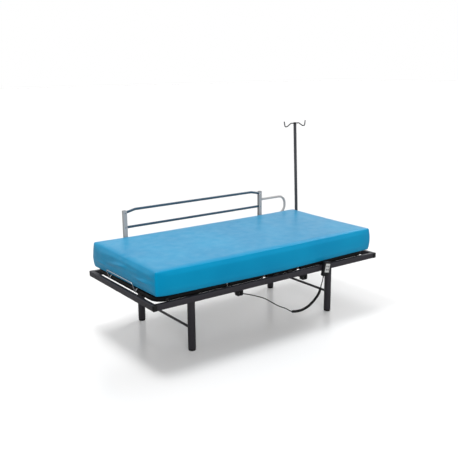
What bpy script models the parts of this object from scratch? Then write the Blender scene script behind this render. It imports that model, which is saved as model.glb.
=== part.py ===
# Electric geriatric bed: tube frame on four legs, lying surface in four sections, mattress,
# folding side rail with grab loop, drip stand and hand control. Metres, +Z up, +X towards the head.
import bpy
import bmesh
from math import asin, cos, pi, radians, sin
from mathutils import Matrix, Vector

for old in list(bpy.data.objects):
    bpy.data.objects.remove(old, do_unlink=True)

# Clearance between pieces that touch, and between a pin and its hole
FIT = 0.0003
RUNNING_FIT = 0.0004

# Lying surface: height of its tubes, width, and the lengths of its four sections
PLATFORM_Z = 0.445
PLATFORM_WIDTH = 0.875
CALF_LENGTH = 0.557
THIGH_LENGTH = 0.322
SEAT_LENGTH = 0.317
BACK_LENGTH = 0.704

# Base frame: rectangular tube, as far as it reaches past the lying surface, with capped cross rails
FRAME_FOOT_MARGIN = 0.039
FRAME_HEAD_MARGIN = 0.083
FRAME_SIDE_MARGIN = 0.035
FRAME_DROP = 0.002
RAIL_HEIGHT = 0.040
RAIL_DEPTH = 0.030
RAIL_WALL = 0.002
CAP_FLANGE = 0.004
CAP_PLUG = 0.015
CAP_EDGE = 0.0015

# Legs, in two pairs, each pair under a crossmember and tied by a bar
LEG_FROM_FOOT = 0.354
LEG_FROM_HEAD = 0.404
LEG_FROM_SIDE = 0.1215
LEG_RADIUS = 0.0265
LEG_FLANGE_RADIUS = 0.0355
LEG_FLANGE = 0.005
FERRULE_HEIGHT = 0.012
FERRULE_GROOVE = 0.0015
TIE_Z = 0.158
TIE_RADIUS = 0.009

# Sections of the lying surface: tubes, hinges and sprung slats
TUBE_RADIUS = 0.015
CORNER_RADIUS = 0.070
CROSS_RADIUS = 0.010
CROSS_DROP = 0.004
CROSS_FROM_HINGE = 0.035
HINGE_GAP = 0.020
TONGUE_THICKNESS = 0.005
TONGUE_RADIUS = 0.012
TONGUE_CLEARANCE = 0.001
PIVOT_RADIUS = 0.005
PIVOT_HEAD_RADIUS = 0.0075
PIVOT_HEAD = 0.005
SEAT_FOOT_LENGTH = 0.040
SEAT_FOOT_INSET = 0.002
SLAT_WIDTH = 0.060
SLAT_THICKNESS = 0.008
SLAT_STEPS = 6
SLAT_FROM_HINGE = 0.095
SLAT_FROM_END = 0.085
SLAT_INSET = 0.008
SLAT_CLEARANCE = 0.0005
HOLDER_MARGIN = 0.006
HOLDER_HEIGHT = 0.020
HOLDER_DEPTH = 0.026
BACK_SLATS = 5
CALF_SLATS = 3

# Wire bracket that keeps the mattress from sliding off the foot end
RETAINER_WIDTH = 0.375
RETAINER_LIFT = 0.008
RETAINER_REACH = 0.023
RETAINER_RISE = 0.052
RETAINER_LEAN = 0.012
RETAINER_WIRE = 0.0035
RETAINER_BEND = 0.012

# Lifting gear: two shafts under the side rails, their arms and the drive that hangs on them
LEG_SHAFT_FROM_KNEE = 0.083
BACK_SHAFT_FROM_HINGE = 0.034
SHAFT_DROP = 0.018
SHAFT_RADIUS = 0.0125
BEARING_LENGTH = 0.050
BEARING_HEIGHT = 0.036
BEARING_EDGE = 0.010
LEG_ARM = 0.260
BACK_ARM = 0.300
ARM_FROM_TUBE = 0.1425
ARM_THICKNESS = 0.008
ARM_HEIGHT = 0.022
ROLLER_RADIUS = 0.012
ROLLER_WIDTH = 0.024
RUNNER_WIDTH = 0.016
RUNNER_HEIGHT = 0.010
RUNNER_LIFT = 0.002
GLIDE_FROM_END = 0.074
GLIDE_RADIUS = 0.012
GLIDE_WIDTH = 0.016
GLIDE_PIN_RADIUS = 0.005
DRIVE_WIDTH = 0.110
DRIVE_END_RADIUS = 0.042
DRIVE_BELLY = 0.036
DRIVE_BELLY_INSET = 0.085
DRIVE_WAIST = 0.003
DRIVE_EDGE = 0.012
GLAND_FROM_SHAFT = 0.132
GLAND_DROP = 0.025
GLAND_RADIUS = 0.007
GLAND_LENGTH = 0.016

# Folding side rail on the far side
UPRIGHT_FROM_FOOT = 0.316
UPRIGHT_FROM_HEAD = 0.414
UPRIGHT_HEIGHT = 0.426
UPRIGHT_SIZE = 0.025
UPRIGHT_WALL = 0.002
UPRIGHT_BELOW_PIVOT = 0.020
RAIL_PIVOT_RADIUS = 0.005
RAIL_PIVOT_HEAD = 0.003
RAIL_PIVOT_HEAD_RADIUS = 0.009
BRACKET_PLATE = 0.006
BRACKET_LENGTH = 0.060
BRACKET_BOSS = 0.003
BRACKET_BOSS_RADIUS = 0.010
BAR_RADIUS = 0.008
BAR_PIN_RADIUS = 0.0035
TOP_BAR_DROP = 0.019
TOP_BAR_RISE = 0.020
TOP_BAR_RUN = 0.090
TOP_BAR_BEND = 0.080
LOWER_BAR_DROP = 0.130
LOOP_DROP = 0.072
LOOP_HEIGHT = 0.140
LOOP_REACH = 0.275
LOOP_RADIUS = 0.0075

# Drip stand in a socket at the far head corner, leaning a little outwards
STAND_RADIUS = 0.010
STAND_HEIGHT = 0.958
STAND_LEAN = radians(2.6)
SOCKET_WALL = 0.0035
SOCKET_BELOW_RAIL = 0.040
SOCKET_ABOVE_RAIL = 0.012
SOCKET_FLOOR = 0.006
HOOK_REACH = 0.120
HOOK_TIP_RISE = 0.018
HOOK_DIP = 0.026
HOOK_DIP_FROM_TIP = 0.016
HOOK_FLAT = 0.045
HOOK_WIRE = 0.0035
HOOK_BEND = 0.009
HOOK_CAP_RADIUS = 0.0115
HOOK_CAP_HEIGHT = 0.014

# Hand control hung on the near side rail
HANDSET_FROM_HINGE = 0.235
HANDSET_TILT = radians(12)
HANDSET_DROP = 0.041
HANDSET_WIDTH = 0.064
HANDSET_HEIGHT = 0.120
HANDSET_DEPTH = 0.030
HANDSET_EDGE = 0.006
HANDSET_HOOK = 0.003
HANDSET_HOOK_WIDTH = 0.030
HANDSET_HOOK_LIP = 0.014
KEYPAD_WIDTH = 0.042
KEYPAD_HEIGHT = 0.066
KEYPAD_TOP_MARGIN = 0.024
KEYPAD_THICKNESS = 0.0015
KEYPAD_SEAT = 0.001
BUTTON_SIZE = 0.012
BUTTON_PITCH_X = 0.019
BUTTON_PITCH_Z = 0.024
BUTTON_PROUD = 0.0015
BUTTON_TRAVEL = 0.001
RELIEF_RADIUS = 0.005
RELIEF_LENGTH = 0.014
RELIEF_OFFSET = 0.012

# Cord of the hand control: lead from the drive, curly part, short tail. Each route is given from the
# end that holds it: the drive's gland or the strain relief of the hand control
CORD_RADIUS = 0.0028
CURL_OUTER_RADIUS = 0.0085
CURLS = 38
POINTS_PER_CURL = 8
LEAD_STEP = 0.012
LEAD_FROM_GLAND = (
    (-0.003, -0.039, -0.001),
    (-0.028, -0.149, 0.004),
    (-0.062, -0.259, 0.009),
    (-0.086, -0.334, 0.007),
    (-0.062, -0.359, -0.007),
)
LEAD_FROM_RELIEF = (
    (-0.608, 0.044, -0.025),
    (-0.526, 0.034, -0.062),
    (-0.432, 0.014, -0.126),
    (-0.364, 0.004, -0.161),
    (-0.306, -0.004, -0.195),
)
CURL_FROM_RELIEF = (
    (-0.228, -0.006, -0.205),
    (-0.160, -0.006, -0.193),
    (-0.110, -0.006, -0.168),
    (-0.071, -0.006, -0.138),
    (-0.042, -0.006, -0.105),
    (-0.029, -0.006, -0.071),
)
TAIL_FROM_RELIEF = (
    (-0.021, -0.005, -0.045),
    (-0.007, -0.003, -0.021),
)

# Mattress: one soft block, split where the lying surface bends
MATTRESS_OVERHANG = 0.0125
MATTRESS_THICKNESS = 0.173
MATTRESS_PLAN_RADIUS = 0.018
MATTRESS_EDGE_RADIUS = 0.011
MATTRESS_CROWN = 0.006
MATTRESS_BULGE = 0.010
MATTRESS_STEP_X = 0.100
MATTRESS_STEP_Y = 0.140
MATTRESS_STEP_Z = 0.060
ROUND_STEPS = 3

# Places that follow from the sizes above
PLATFORM_LENGTH = CALF_LENGTH + THIGH_LENGTH + SEAT_LENGTH + BACK_LENGTH
FRAME_LENGTH = FRAME_FOOT_MARGIN + PLATFORM_LENGTH + FRAME_HEAD_MARGIN
FRAME_WIDTH = PLATFORM_WIDTH + 2 * FRAME_SIDE_MARGIN
FOOT_END_X = FRAME_FOOT_MARGIN - FRAME_LENGTH / 2
KNEE_X = FOOT_END_X + CALF_LENGTH
THIGH_HINGE_X = KNEE_X + THIGH_LENGTH
BACK_HINGE_X = THIGH_HINGE_X + SEAT_LENGTH
HEAD_END_X = BACK_HINGE_X + BACK_LENGTH
RAIL_TOP = PLATFORM_Z - TUBE_RADIUS - FRAME_DROP
RAIL_BOTTOM = RAIL_TOP - RAIL_HEIGHT
RAIL_Y = FRAME_WIDTH / 2 - CAP_FLANGE - RAIL_DEPTH / 2
RAIL_INNER_Y = RAIL_Y - RAIL_DEPTH / 2
RAIL_OUTER_Y = RAIL_Y + RAIL_DEPTH / 2
RAIL_MID_Z = RAIL_TOP - RAIL_HEIGHT / 2
CROSS_RAIL_X = FRAME_LENGTH / 2 - RAIL_DEPTH / 2
CROSS_RAIL_INNER_X = FRAME_LENGTH / 2 - RAIL_DEPTH
LEG_FOOT_X = LEG_FROM_FOOT - FRAME_LENGTH / 2
LEG_HEAD_X = FRAME_LENGTH / 2 - LEG_FROM_HEAD
LEG_Y = FRAME_WIDTH / 2 - LEG_FROM_SIDE
TUBE_Y = PLATFORM_WIDTH / 2 - TUBE_RADIUS
PLATFORM_TOP = PLATFORM_Z + TUBE_RADIUS
CROSS_Z = PLATFORM_Z - CROSS_DROP
RUNNER_BOTTOM = PLATFORM_Z - TUBE_RADIUS + RUNNER_LIFT
SLAT_END_Y = TUBE_Y - TUBE_RADIUS - SLAT_INSET
SLAT_BOW = TUBE_RADIUS - SLAT_THICKNESS / 2
SHAFT_Z = RAIL_BOTTOM - SHAFT_DROP
LEG_SHAFT_X = KNEE_X + LEG_SHAFT_FROM_KNEE
BACK_SHAFT_X = BACK_HINGE_X + BACK_SHAFT_FROM_HINGE
ARM_Y = TUBE_Y - ARM_FROM_TUBE
ROLLER_Z = RUNNER_BOTTOM - FIT - ROLLER_RADIUS
GLAND_FACE = Vector((
    LEG_SHAFT_X + GLAND_FROM_SHAFT,
    -DRIVE_WIDTH / 2 - GLAND_LENGTH - FIT,
    SHAFT_Z - GLAND_DROP,
))
UPRIGHT_FOOT_X = UPRIGHT_FROM_FOOT - FRAME_LENGTH / 2
UPRIGHT_HEAD_X = FRAME_LENGTH / 2 - UPRIGHT_FROM_HEAD
UPRIGHT_TOP = RAIL_MID_Z + UPRIGHT_HEIGHT
TOP_BAR_PIVOT_Z = UPRIGHT_TOP - TOP_BAR_DROP
LOWER_BAR_Z = UPRIGHT_TOP - LOWER_BAR_DROP
LOOP_TOP_Z = UPRIGHT_TOP - LOOP_DROP
LOOP_BOTTOM_Z = LOOP_TOP_Z - LOOP_HEIGHT
UPRIGHT_Y = RAIL_OUTER_Y + FIT + BRACKET_PLATE + BRACKET_BOSS + FIT + UPRIGHT_SIZE / 2
SOCKET_RADIUS = STAND_RADIUS + FIT + SOCKET_WALL
STAND_X = CROSS_RAIL_INNER_X - FIT - SOCKET_RADIUS
STAND_Y = RAIL_INNER_Y - FIT - SOCKET_RADIUS / cos(STAND_LEAN)
HANDSET_X = BACK_HINGE_X + HANDSET_FROM_HINGE
HANDSET_BOTTOM = RAIL_BOTTOM - HANDSET_DROP
HANDSET_BACK_Y = -RAIL_OUTER_Y - FIT
HANDSET_FRONT_Y = HANDSET_BACK_Y - HANDSET_DEPTH
HANDSET_MID_Y = (HANDSET_BACK_Y + HANDSET_FRONT_Y) / 2
HANDSET_PIVOT = Vector((HANDSET_X, HANDSET_MID_Y, RAIL_TOP))
HANDSET_TURN = (Matrix.Translation(HANDSET_PIVOT) @ Matrix.Rotation(HANDSET_TILT, 4, "Y")
                @ Matrix.Translation(-HANDSET_PIVOT))
RELIEF_WAY = HANDSET_TURN.to_3x3() @ Vector((0, 0, -1))
RELIEF_FACE = HANDSET_TURN @ Vector((
    HANDSET_X - RELIEF_OFFSET,
    HANDSET_MID_Y,
    HANDSET_BOTTOM - RELIEF_LENGTH - FIT,
))
KEYPAD_FRONT_Y = HANDSET_FRONT_Y - KEYPAD_THICKNESS + KEYPAD_SEAT
KEYPAD_Z = HANDSET_BOTTOM + HANDSET_HEIGHT - KEYPAD_TOP_MARGIN - KEYPAD_HEIGHT / 2
MATTRESS_BOTTOM = PLATFORM_TOP + FIT
MATTRESS_WIDTH = PLATFORM_WIDTH + 2 * MATTRESS_OVERHANG
MATTRESS_MID_X = (FOOT_END_X + HEAD_END_X) / 2
HEAD_REACH = max(FRAME_LENGTH / 2, STAND_X + HOOK_REACH + HOOK_WIRE)
NEAR_REACH = -(KEYPAD_FRONT_Y - BUTTON_PROUD)
FAR_REACH = UPRIGHT_Y + UPRIGHT_SIZE / 2 + FIT + RAIL_PIVOT_HEAD
ORIGIN_SHIFT = Vector(((FRAME_LENGTH / 2 - HEAD_REACH) / 2, (NEAR_REACH - FAR_REACH) / 2, 0))

parts = bpy.data.collections.new("geriatric_bed")
cutters = bpy.data.collections.new("geriatric_bed_cutters")
bpy.context.scene.collection.children.link(parts)
bpy.context.scene.collection.children.link(cutters)

# The empty that carries every piece: its place centres the bed on the origin
bed = bpy.data.objects.new("bed_reference", None)
bed.location = ORIGIN_SHIFT
parts.objects.link(bed)


def linear(channel):
    value = channel / 255
    return value / 12.92 if value <= 0.04045 else ((value + 0.055) / 1.055) ** 2.4


def finish(name, colour, roughness, metallic=0.0):
    material = bpy.data.materials.new(name)
    material.use_nodes = True
    shader = material.node_tree.nodes["Principled BSDF"]
    rgba = [linear(channel) for channel in colour] + [1.0]
    shader.inputs["Base Color"].default_value = rgba
    shader.inputs["Roughness"].default_value = roughness
    shader.inputs["Metallic"].default_value = metallic
    material.diffuse_color = rgba
    return material


frame_paint = finish("anthracite_paint", (70, 68, 68), 0.45)
leg_paint = finish("dark_leg_paint", (45, 43, 48), 0.40)
black_paint = finish("black_paint", (14, 14, 16), 0.45)
black_plastic = finish("black_plastic", (20, 20, 22), 0.55)
slat_wood = finish("slat_wood", (186, 150, 104), 0.60)
chrome_wire = finish("chrome_wire", (200, 200, 202), 0.18, 1.0)
gear_steel = finish("gear_steel", (60, 60, 64), 0.45, 0.4)
rail_grey = finish("rail_grey", (165, 163, 162), 0.40)
bar_slate = finish("bar_slate", (70, 92, 110), 0.40)
stand_grey = finish("stand_grey", (70, 72, 76), 0.35, 0.3)
keypad_grey = finish("keypad_grey", (205, 204, 202), 0.50)
button_dark = finish("button_dark", (58, 60, 66), 0.55)
mattress_blue = finish("mattress_blue", (30, 132, 186), 0.55)


def scratch(mesh, name="piece"):
    piece = bpy.data.objects.new(name, mesh)
    cutters.objects.link(piece)
    return piece


def from_bmesh(bm):
    bmesh.ops.recalc_face_normals(bm, faces=bm.faces)
    mesh = bpy.data.meshes.new("piece")
    bm.to_mesh(mesh)
    bm.free()
    return scratch(mesh)


def box(size, centre, edge=0.0, edge_steps=2):
    bm = bmesh.new()
    bmesh.ops.create_cube(bm, size=1)
    bmesh.ops.scale(bm, vec=size, verts=bm.verts)
    if edge:
        bmesh.ops.bevel(bm, geom=bm.edges, offset=edge, segments=edge_steps, profile=0.5, affect="EDGES")
    bmesh.ops.translate(bm, vec=centre, verts=bm.verts)
    return from_bmesh(bm)


def cylinder(radius, start, end, sides=16):
    start = Vector(start)
    axis = Vector(end) - start
    bm = bmesh.new()
    bmesh.ops.create_cone(bm, cap_ends=True, segments=sides, radius1=radius, radius2=radius,
                          depth=axis.length)
    turn = axis.to_track_quat("Z", "Y").to_matrix().to_4x4()
    bmesh.ops.transform(bm, matrix=Matrix.Translation(start + axis / 2) @ turn, verts=bm.verts)
    return from_bmesh(bm)


def ball(radius, centre):
    bm = bmesh.new()
    bmesh.ops.create_uvsphere(bm, u_segments=8, v_segments=6, radius=radius)
    bmesh.ops.translate(bm, vec=centre, verts=bm.verts)
    return from_bmesh(bm)


def evaluated_mesh(piece):
    depsgraph = bpy.context.evaluated_depsgraph_get()
    return bpy.data.meshes.new_from_object(piece.evaluated_get(depsgraph))


def baked(piece):
    """Replaces a curve or a modified object by its plain welded mesh."""
    bpy.context.view_layer.update()
    mesh = evaluated_mesh(piece)
    bm = bmesh.new()
    bm.from_mesh(mesh)
    bmesh.ops.transform(bm, matrix=piece.matrix_world, verts=bm.verts)
    bmesh.ops.remove_doubles(bm, verts=bm.verts, dist=0.00001)
    bpy.data.objects.remove(piece, do_unlink=True)
    return from_bmesh(bm)


def rounded_path(corners, radius, steps=5):
    """Points along straight runs through the corners, each corner rounded by an arc."""
    corners = [Vector(corner) for corner in corners]
    path = [corners[0]]
    for before, corner, after in zip(corners, corners[1:], corners[2:]):
        into = (before - corner).normalized()
        out = (after - corner).normalized()
        half = into.angle(out) / 2
        bisector = (into + out).normalized()
        centre = corner + bisector * (radius / sin(half))
        sweep = pi - 2 * half
        for step in range(steps + 1):
            angle = sweep * (step / steps - 0.5)
            side = (out - into).normalized()
            path.append(centre - bisector * radius * cos(angle) + side * radius * sin(angle))
    path.append(corners[-1])
    return path


def rod(path, radius, resolution=2):
    """A round bar or tube along a path, with closed ends."""
    curve = bpy.data.curves.new("path", "CURVE")
    curve.dimensions = "3D"
    curve.bevel_depth = radius
    curve.bevel_resolution = resolution
    curve.use_fill_caps = True
    spline = curve.splines.new("POLY")
    spline.points.add(len(path) - 1)
    for point, place in zip(spline.points, path):
        point.co = (*place, 1)
    return baked(scratch(curve))


def plate(outline, thickness, centre_y):
    """A flat outline in the XZ plane, extruded evenly to both sides of centre_y."""
    curve = bpy.data.curves.new("outline", "CURVE")
    curve.dimensions = "2D"
    curve.fill_mode = "BOTH"
    curve.extrude = thickness / 2
    spline = curve.splines.new("POLY")
    spline.points.add(len(outline) - 1)
    spline.use_cyclic_u = True
    for point, (x, z) in zip(spline.points, outline):
        point.co = (x, z, 0, 1)
    piece = scratch(curve)
    piece.matrix_world = Matrix.Translation((0, centre_y, 0)) @ Matrix.Rotation(pi / 2, 4, "X")
    piece = baked(piece)
    bm = bmesh.new()
    bm.from_mesh(piece.data)
    bmesh.ops.dissolve_limit(bm, angle_limit=radians(0.5), verts=bm.verts, edges=bm.edges)
    bm.to_mesh(piece.data)
    bm.free()
    return piece


def arc(centre, radius, start, end, steps):
    """Points of an arc in a plane, from one angle to another."""
    angles = [start + (end - start) * step / steps for step in range(steps + 1)]
    return [(centre[0] + radius * cos(angle), centre[1] + radius * sin(angle)) for angle in angles]


def turned(profile, steps=20):
    """A solid of revolution about Z from a profile of (radius, height), top to bottom."""
    bm = bmesh.new()
    verts = [bm.verts.new((radius, 0, height)) for radius, height in profile]
    for first, second in zip(verts, verts[1:]):
        bm.edges.new((first, second))
    mesh = bpy.data.meshes.new("profile")
    bm.to_mesh(mesh)
    bm.free()
    piece = scratch(mesh)
    screw = piece.modifiers.new("turn", "SCREW")
    screw.steps = steps
    screw.render_steps = steps
    screw.use_merge_vertices = True
    screw.merge_threshold = 0.00001
    return baked(piece)


def boolean(piece, tool, operation):
    modifier = piece.modifiers.new(operation.lower(), "BOOLEAN")
    modifier.operation = operation
    modifier.object = tool
    modifier.solver = "EXACT"


def fused(pieces):
    """One body from pieces that pass into each other."""
    first, *rest = pieces
    for tool in rest:
        boolean(first, tool, "UNION")
    result = baked(first)
    for tool in rest:
        bpy.data.objects.remove(tool, do_unlink=True)
    return result


def hidden(tool, name):
    """Keeps a cutter in the cutters' collection, shown as wire only."""
    tool.name = name
    tool.hide_render = True
    tool.display_type = "WIRE"
    return tool


def node(name, piece, material, origin=(0, 0, 0), cuts=()):
    """Turns a piece into a named sub-part with its origin where it turns or sits."""
    origin = Vector(origin)
    mesh = piece.data
    mesh.transform(Matrix.Translation(-origin))
    mesh.name = name
    mesh.materials.clear()
    mesh.materials.append(material)
    mesh.shade_smooth()
    mesh.set_sharp_from_angle(angle=radians(38))
    piece.name = name
    cutters.objects.unlink(piece)
    parts.objects.link(piece)
    piece.parent = bed
    piece.location = origin
    for number, tool in enumerate(cuts, 1):
        tool.parent = bed
        boolean(piece, hidden(tool, f"{name}_cut_{number}"), "DIFFERENCE")
    return piece


def mirrored(point):
    return (point[0], -point[1], point[2])


def tube_along(axis, length, centre):
    """A rectangular tube, open at both ends, along X or Y."""
    sizes = {"X": (length, RAIL_DEPTH, RAIL_HEIGHT), "Y": (RAIL_DEPTH, length, RAIL_HEIGHT)}
    bores = {
        "X": (length + 2 * RAIL_DEPTH, RAIL_DEPTH - 2 * RAIL_WALL, RAIL_HEIGHT - 2 * RAIL_WALL),
        "Y": (RAIL_DEPTH - 2 * RAIL_WALL, length + 2 * RAIL_DEPTH, RAIL_HEIGHT - 2 * RAIL_WALL),
    }
    return box(sizes[axis], centre), box(bores[axis], centre)


def build_base_frame():
    side_length = 2 * (CROSS_RAIL_INNER_X - FIT)
    for name, side in (("side_rail_near", -1), ("side_rail_far", 1)):
        tube, bore = tube_along("X", side_length, (0, side * RAIL_Y, RAIL_MID_Z))
        node(name, tube, frame_paint, cuts=[bore])
    cross_length = FRAME_WIDTH - 2 * CAP_FLANGE - 2 * FIT
    plug = (RAIL_DEPTH - 2 * RAIL_WALL - 2 * FIT, CAP_PLUG, RAIL_HEIGHT - 2 * RAIL_WALL - 2 * FIT)
    for end, x in (("foot", -CROSS_RAIL_X), ("head", CROSS_RAIL_X)):
        tube, bore = tube_along("Y", cross_length, (x, 0, RAIL_MID_Z))
        node(f"{end}_rail", tube, frame_paint, cuts=[bore])
        for side_name, side in (("near", -1), ("far", 1)):
            flange_y = side * (FRAME_WIDTH / 2 - CAP_FLANGE / 2)
            plug_y = side * (FRAME_WIDTH / 2 - CAP_FLANGE - CAP_PLUG / 2 + CAP_EDGE)
            flange = box((RAIL_DEPTH, CAP_FLANGE, RAIL_HEIGHT), (x, flange_y, RAIL_MID_Z), CAP_EDGE, 1)
            cap = fused([flange, box(plug, (x, plug_y, RAIL_MID_Z))])
            node(f"end_cap_{end}_{side_name}", cap, black_plastic)


def build_legs():
    crossmember_length = 2 * (RAIL_INNER_Y - FIT)
    leg_top = RAIL_BOTTOM - FIT
    groove_radius = LEG_RADIUS - FERRULE_GROOVE
    profile = (
        (0, leg_top),
        (LEG_FLANGE_RADIUS, leg_top),
        (LEG_FLANGE_RADIUS, leg_top - LEG_FLANGE),
        (LEG_RADIUS, leg_top - LEG_FLANGE),
        (LEG_RADIUS, FERRULE_HEIGHT + FERRULE_GROOVE),
        (groove_radius, FERRULE_HEIGHT + FERRULE_GROOVE),
        (groove_radius, FERRULE_HEIGHT),
        (LEG_RADIUS, FERRULE_HEIGHT),
        (LEG_RADIUS, FERRULE_GROOVE),
        (LEG_RADIUS - FERRULE_GROOVE, 0),
        (0, 0),
    )
    for end, x in (("foot", LEG_FOOT_X), ("head", LEG_HEAD_X)):
        tube, bore = tube_along("Y", crossmember_length, (x, 0, RAIL_MID_Z))
        node(f"crossmember_{end}", tube, frame_paint, cuts=[bore])
        for side_name, side in (("near", -1), ("far", 1)):
            leg = turned(profile)
            leg.data.transform(Matrix.Translation((x, side * LEG_Y, 0)))
            node(f"leg_{end}_{side_name}", leg, leg_paint, origin=(x, side * LEG_Y, 0))
        reach = LEG_Y - LEG_RADIUS - FIT
        tie = cylinder(TIE_RADIUS, (x, -reach, TIE_Z), (x, reach, TIE_Z))
        node(f"tie_bar_{end}", tie, leg_paint)


def tongue(hinge_x, towards, y):
    """Flat hinge lug from inside a tube's end to its rounded end at the pivot."""
    root = hinge_x + towards * (HINGE_GAP + TUBE_RADIUS)
    start = pi - towards * pi / 2
    outline = arc((hinge_x, PLATFORM_Z), TONGUE_RADIUS, start, start + pi, 8)
    outline += [(root, outline[-1][1]), (root, outline[0][1])]
    return plate(outline, TONGUE_THICKNESS, y)


def outer_lugs(hinge_x, towards):
    """Lugs that carry the pivot bolts, one on each side tube."""
    pieces = []
    lug_y = TUBE_Y + TONGUE_CLEARANCE / 2 + TONGUE_THICKNESS / 2
    head_root = lug_y + TONGUE_THICKNESS / 2
    pin_end = TUBE_Y - TONGUE_CLEARANCE / 2 - TONGUE_THICKNESS - PIVOT_HEAD / 2
    for side in (-1, 1):
        pieces.append(tongue(hinge_x, towards, side * lug_y))
        start = (hinge_x, side * pin_end, PLATFORM_Z)
        middle = (hinge_x, side * lug_y, PLATFORM_Z)
        head = (hinge_x, side * (head_root + PIVOT_HEAD), PLATFORM_Z)
        pieces.append(cylinder(PIVOT_RADIUS, start, middle, 12))
        pieces.append(cylinder(PIVOT_HEAD_RADIUS, middle, head, 12))
    return pieces


def inner_lugs(hinge_x, towards):
    """Lugs that turn on the pivot bolts, and the cutters of their holes."""
    pieces = []
    holes = []
    lug_y = TUBE_Y - TONGUE_CLEARANCE / 2 - TONGUE_THICKNESS / 2
    for side in (-1, 1):
        pieces.append(tongue(hinge_x, towards, side * lug_y))
        start = (hinge_x, side * (lug_y - TONGUE_THICKNESS), PLATFORM_Z)
        end = (hinge_x, side * (lug_y + TONGUE_THICKNESS), PLATFORM_Z)
        holes.append(cylinder(PIVOT_RADIUS + RUNNING_FIT, start, end, 12))
    return pieces, holes


def side_tubes(start_x, end_x):
    pieces = []
    for side in (-1, 1):
        path = [(start_x, side * TUBE_Y, PLATFORM_Z), (end_x, side * TUBE_Y, PLATFORM_Z)]
        pieces.append(rod([Vector(point) for point in path], TUBE_RADIUS))
    return pieces


def end_tube(start_x, end_x, towards):
    """Side tubes and end tube of an outer section, bent from one length."""
    far_x = end_x - towards * TUBE_RADIUS
    corners = [
        (start_x, -TUBE_Y, PLATFORM_Z),
        (far_x, -TUBE_Y, PLATFORM_Z),
        (far_x, TUBE_Y, PLATFORM_Z),
        (start_x, TUBE_Y, PLATFORM_Z),
    ]
    return rod(rounded_path(corners, CORNER_RADIUS, 6), TUBE_RADIUS)


def cross_tube(x):
    return cylinder(CROSS_RADIUS, (x, -TUBE_Y, CROSS_Z), (x, TUBE_Y, CROSS_Z), 12)


def runners(start_x, end_x):
    """Lengthwise bars under a section that the arms' rollers push on."""
    size = (abs(end_x - start_x), RUNNER_WIDTH, RUNNER_HEIGHT)
    middle = (start_x + end_x) / 2
    height = RUNNER_BOTTOM + RUNNER_HEIGHT / 2
    return [box(size, (middle, side * ARM_Y, height)) for side in (-1, 1)]


def slat_holders(slat_xs):
    """Blocks on the side tubes, and the pockets that the slat ends sit in."""
    blocks = []
    pockets = []
    block_size = (SLAT_WIDTH + 2 * HOLDER_MARGIN, HOLDER_DEPTH, HOLDER_HEIGHT)
    block_y = TUBE_Y - TUBE_RADIUS - HOLDER_DEPTH / 2 + TUBE_RADIUS / 2
    pocket_end = SLAT_END_Y + SLAT_CLEARANCE
    pocket_start = block_y - HOLDER_DEPTH
    pocket_size = (SLAT_WIDTH + 2 * SLAT_CLEARANCE, pocket_end - pocket_start,
                   SLAT_THICKNESS + 2 * SLAT_CLEARANCE + slat_lift(pocket_start))
    pocket_z = PLATFORM_Z + slat_lift(pocket_start) / 2
    for x in slat_xs:
        for side in (-1, 1):
            blocks.append(box(block_size, (x, side * block_y, PLATFORM_Z)))
            pocket_y = side * (pocket_start + pocket_end) / 2
            pockets.append(box(pocket_size, (x, pocket_y, pocket_z)))
    return blocks, pockets


def slat_lift(y):
    """Height of a sprung slat's middle line above its ends."""
    return SLAT_BOW * (1 - (y / SLAT_END_Y) ** 2)


def build_slats(section, slat_xs, pivot):
    for number, x in enumerate(slat_xs, 1):
        bm = bmesh.new()
        bmesh.ops.create_cube(bm, size=1)
        bmesh.ops.scale(bm, vec=(SLAT_WIDTH, 2 * SLAT_END_Y, SLAT_THICKNESS), verts=bm.verts)
        for step in range(1, SLAT_STEPS):
            cut_y = SLAT_END_Y * (2 * step / SLAT_STEPS - 1)
            bmesh.ops.bisect_plane(bm, geom=bm.verts[:] + bm.edges[:] + bm.faces[:],
                                   plane_co=(0, cut_y, 0), plane_no=(0, 1, 0))
        for vert in bm.verts:
            vert.co.z += slat_lift(vert.co.y)
        bmesh.ops.translate(bm, vec=(x, 0, PLATFORM_Z), verts=bm.verts)
        node(f"slat_{section}_{number}", from_bmesh(bm), slat_wood, origin=pivot)


def spaced(first, last, count):
    return [first + (last - first) * number / (count - 1) for number in range(count)]


def build_section(name, pieces, holes, slat_xs, pivot):
    blocks, pockets = slat_holders(slat_xs)
    node(f"{name}_frame", fused(pieces + blocks), black_paint, origin=pivot, cuts=holes + pockets)
    build_slats(name, slat_xs, pivot)


def build_seat():
    slat_xs = (THIGH_HINGE_X + SLAT_FROM_HINGE, BACK_HINGE_X - SLAT_FROM_HINGE)
    pieces = side_tubes(THIGH_HINGE_X + HINGE_GAP, BACK_HINGE_X - HINGE_GAP)
    cross_xs = (THIGH_HINGE_X + CROSS_FROM_HINGE, BACK_HINGE_X - CROSS_FROM_HINGE)
    pieces += [cross_tube(x) for x in cross_xs]
    pieces += outer_lugs(BACK_HINGE_X, -1) + outer_lugs(THIGH_HINGE_X, 1)
    foot_bottom = RAIL_TOP + FIT
    foot_top = PLATFORM_Z - SEAT_FOOT_INSET
    foot_inner = TUBE_Y + SEAT_FOOT_INSET
    foot_outer = RAIL_Y
    foot_size = (SEAT_FOOT_LENGTH, foot_outer - foot_inner, foot_top - foot_bottom)
    for x in slat_xs:
        for side in (-1, 1):
            centre = (x, side * (foot_outer + foot_inner) / 2, (foot_top + foot_bottom) / 2)
            pieces.append(box(foot_size, centre))
    build_section("seat", pieces, [], slat_xs, (0, 0, PLATFORM_Z))


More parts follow.
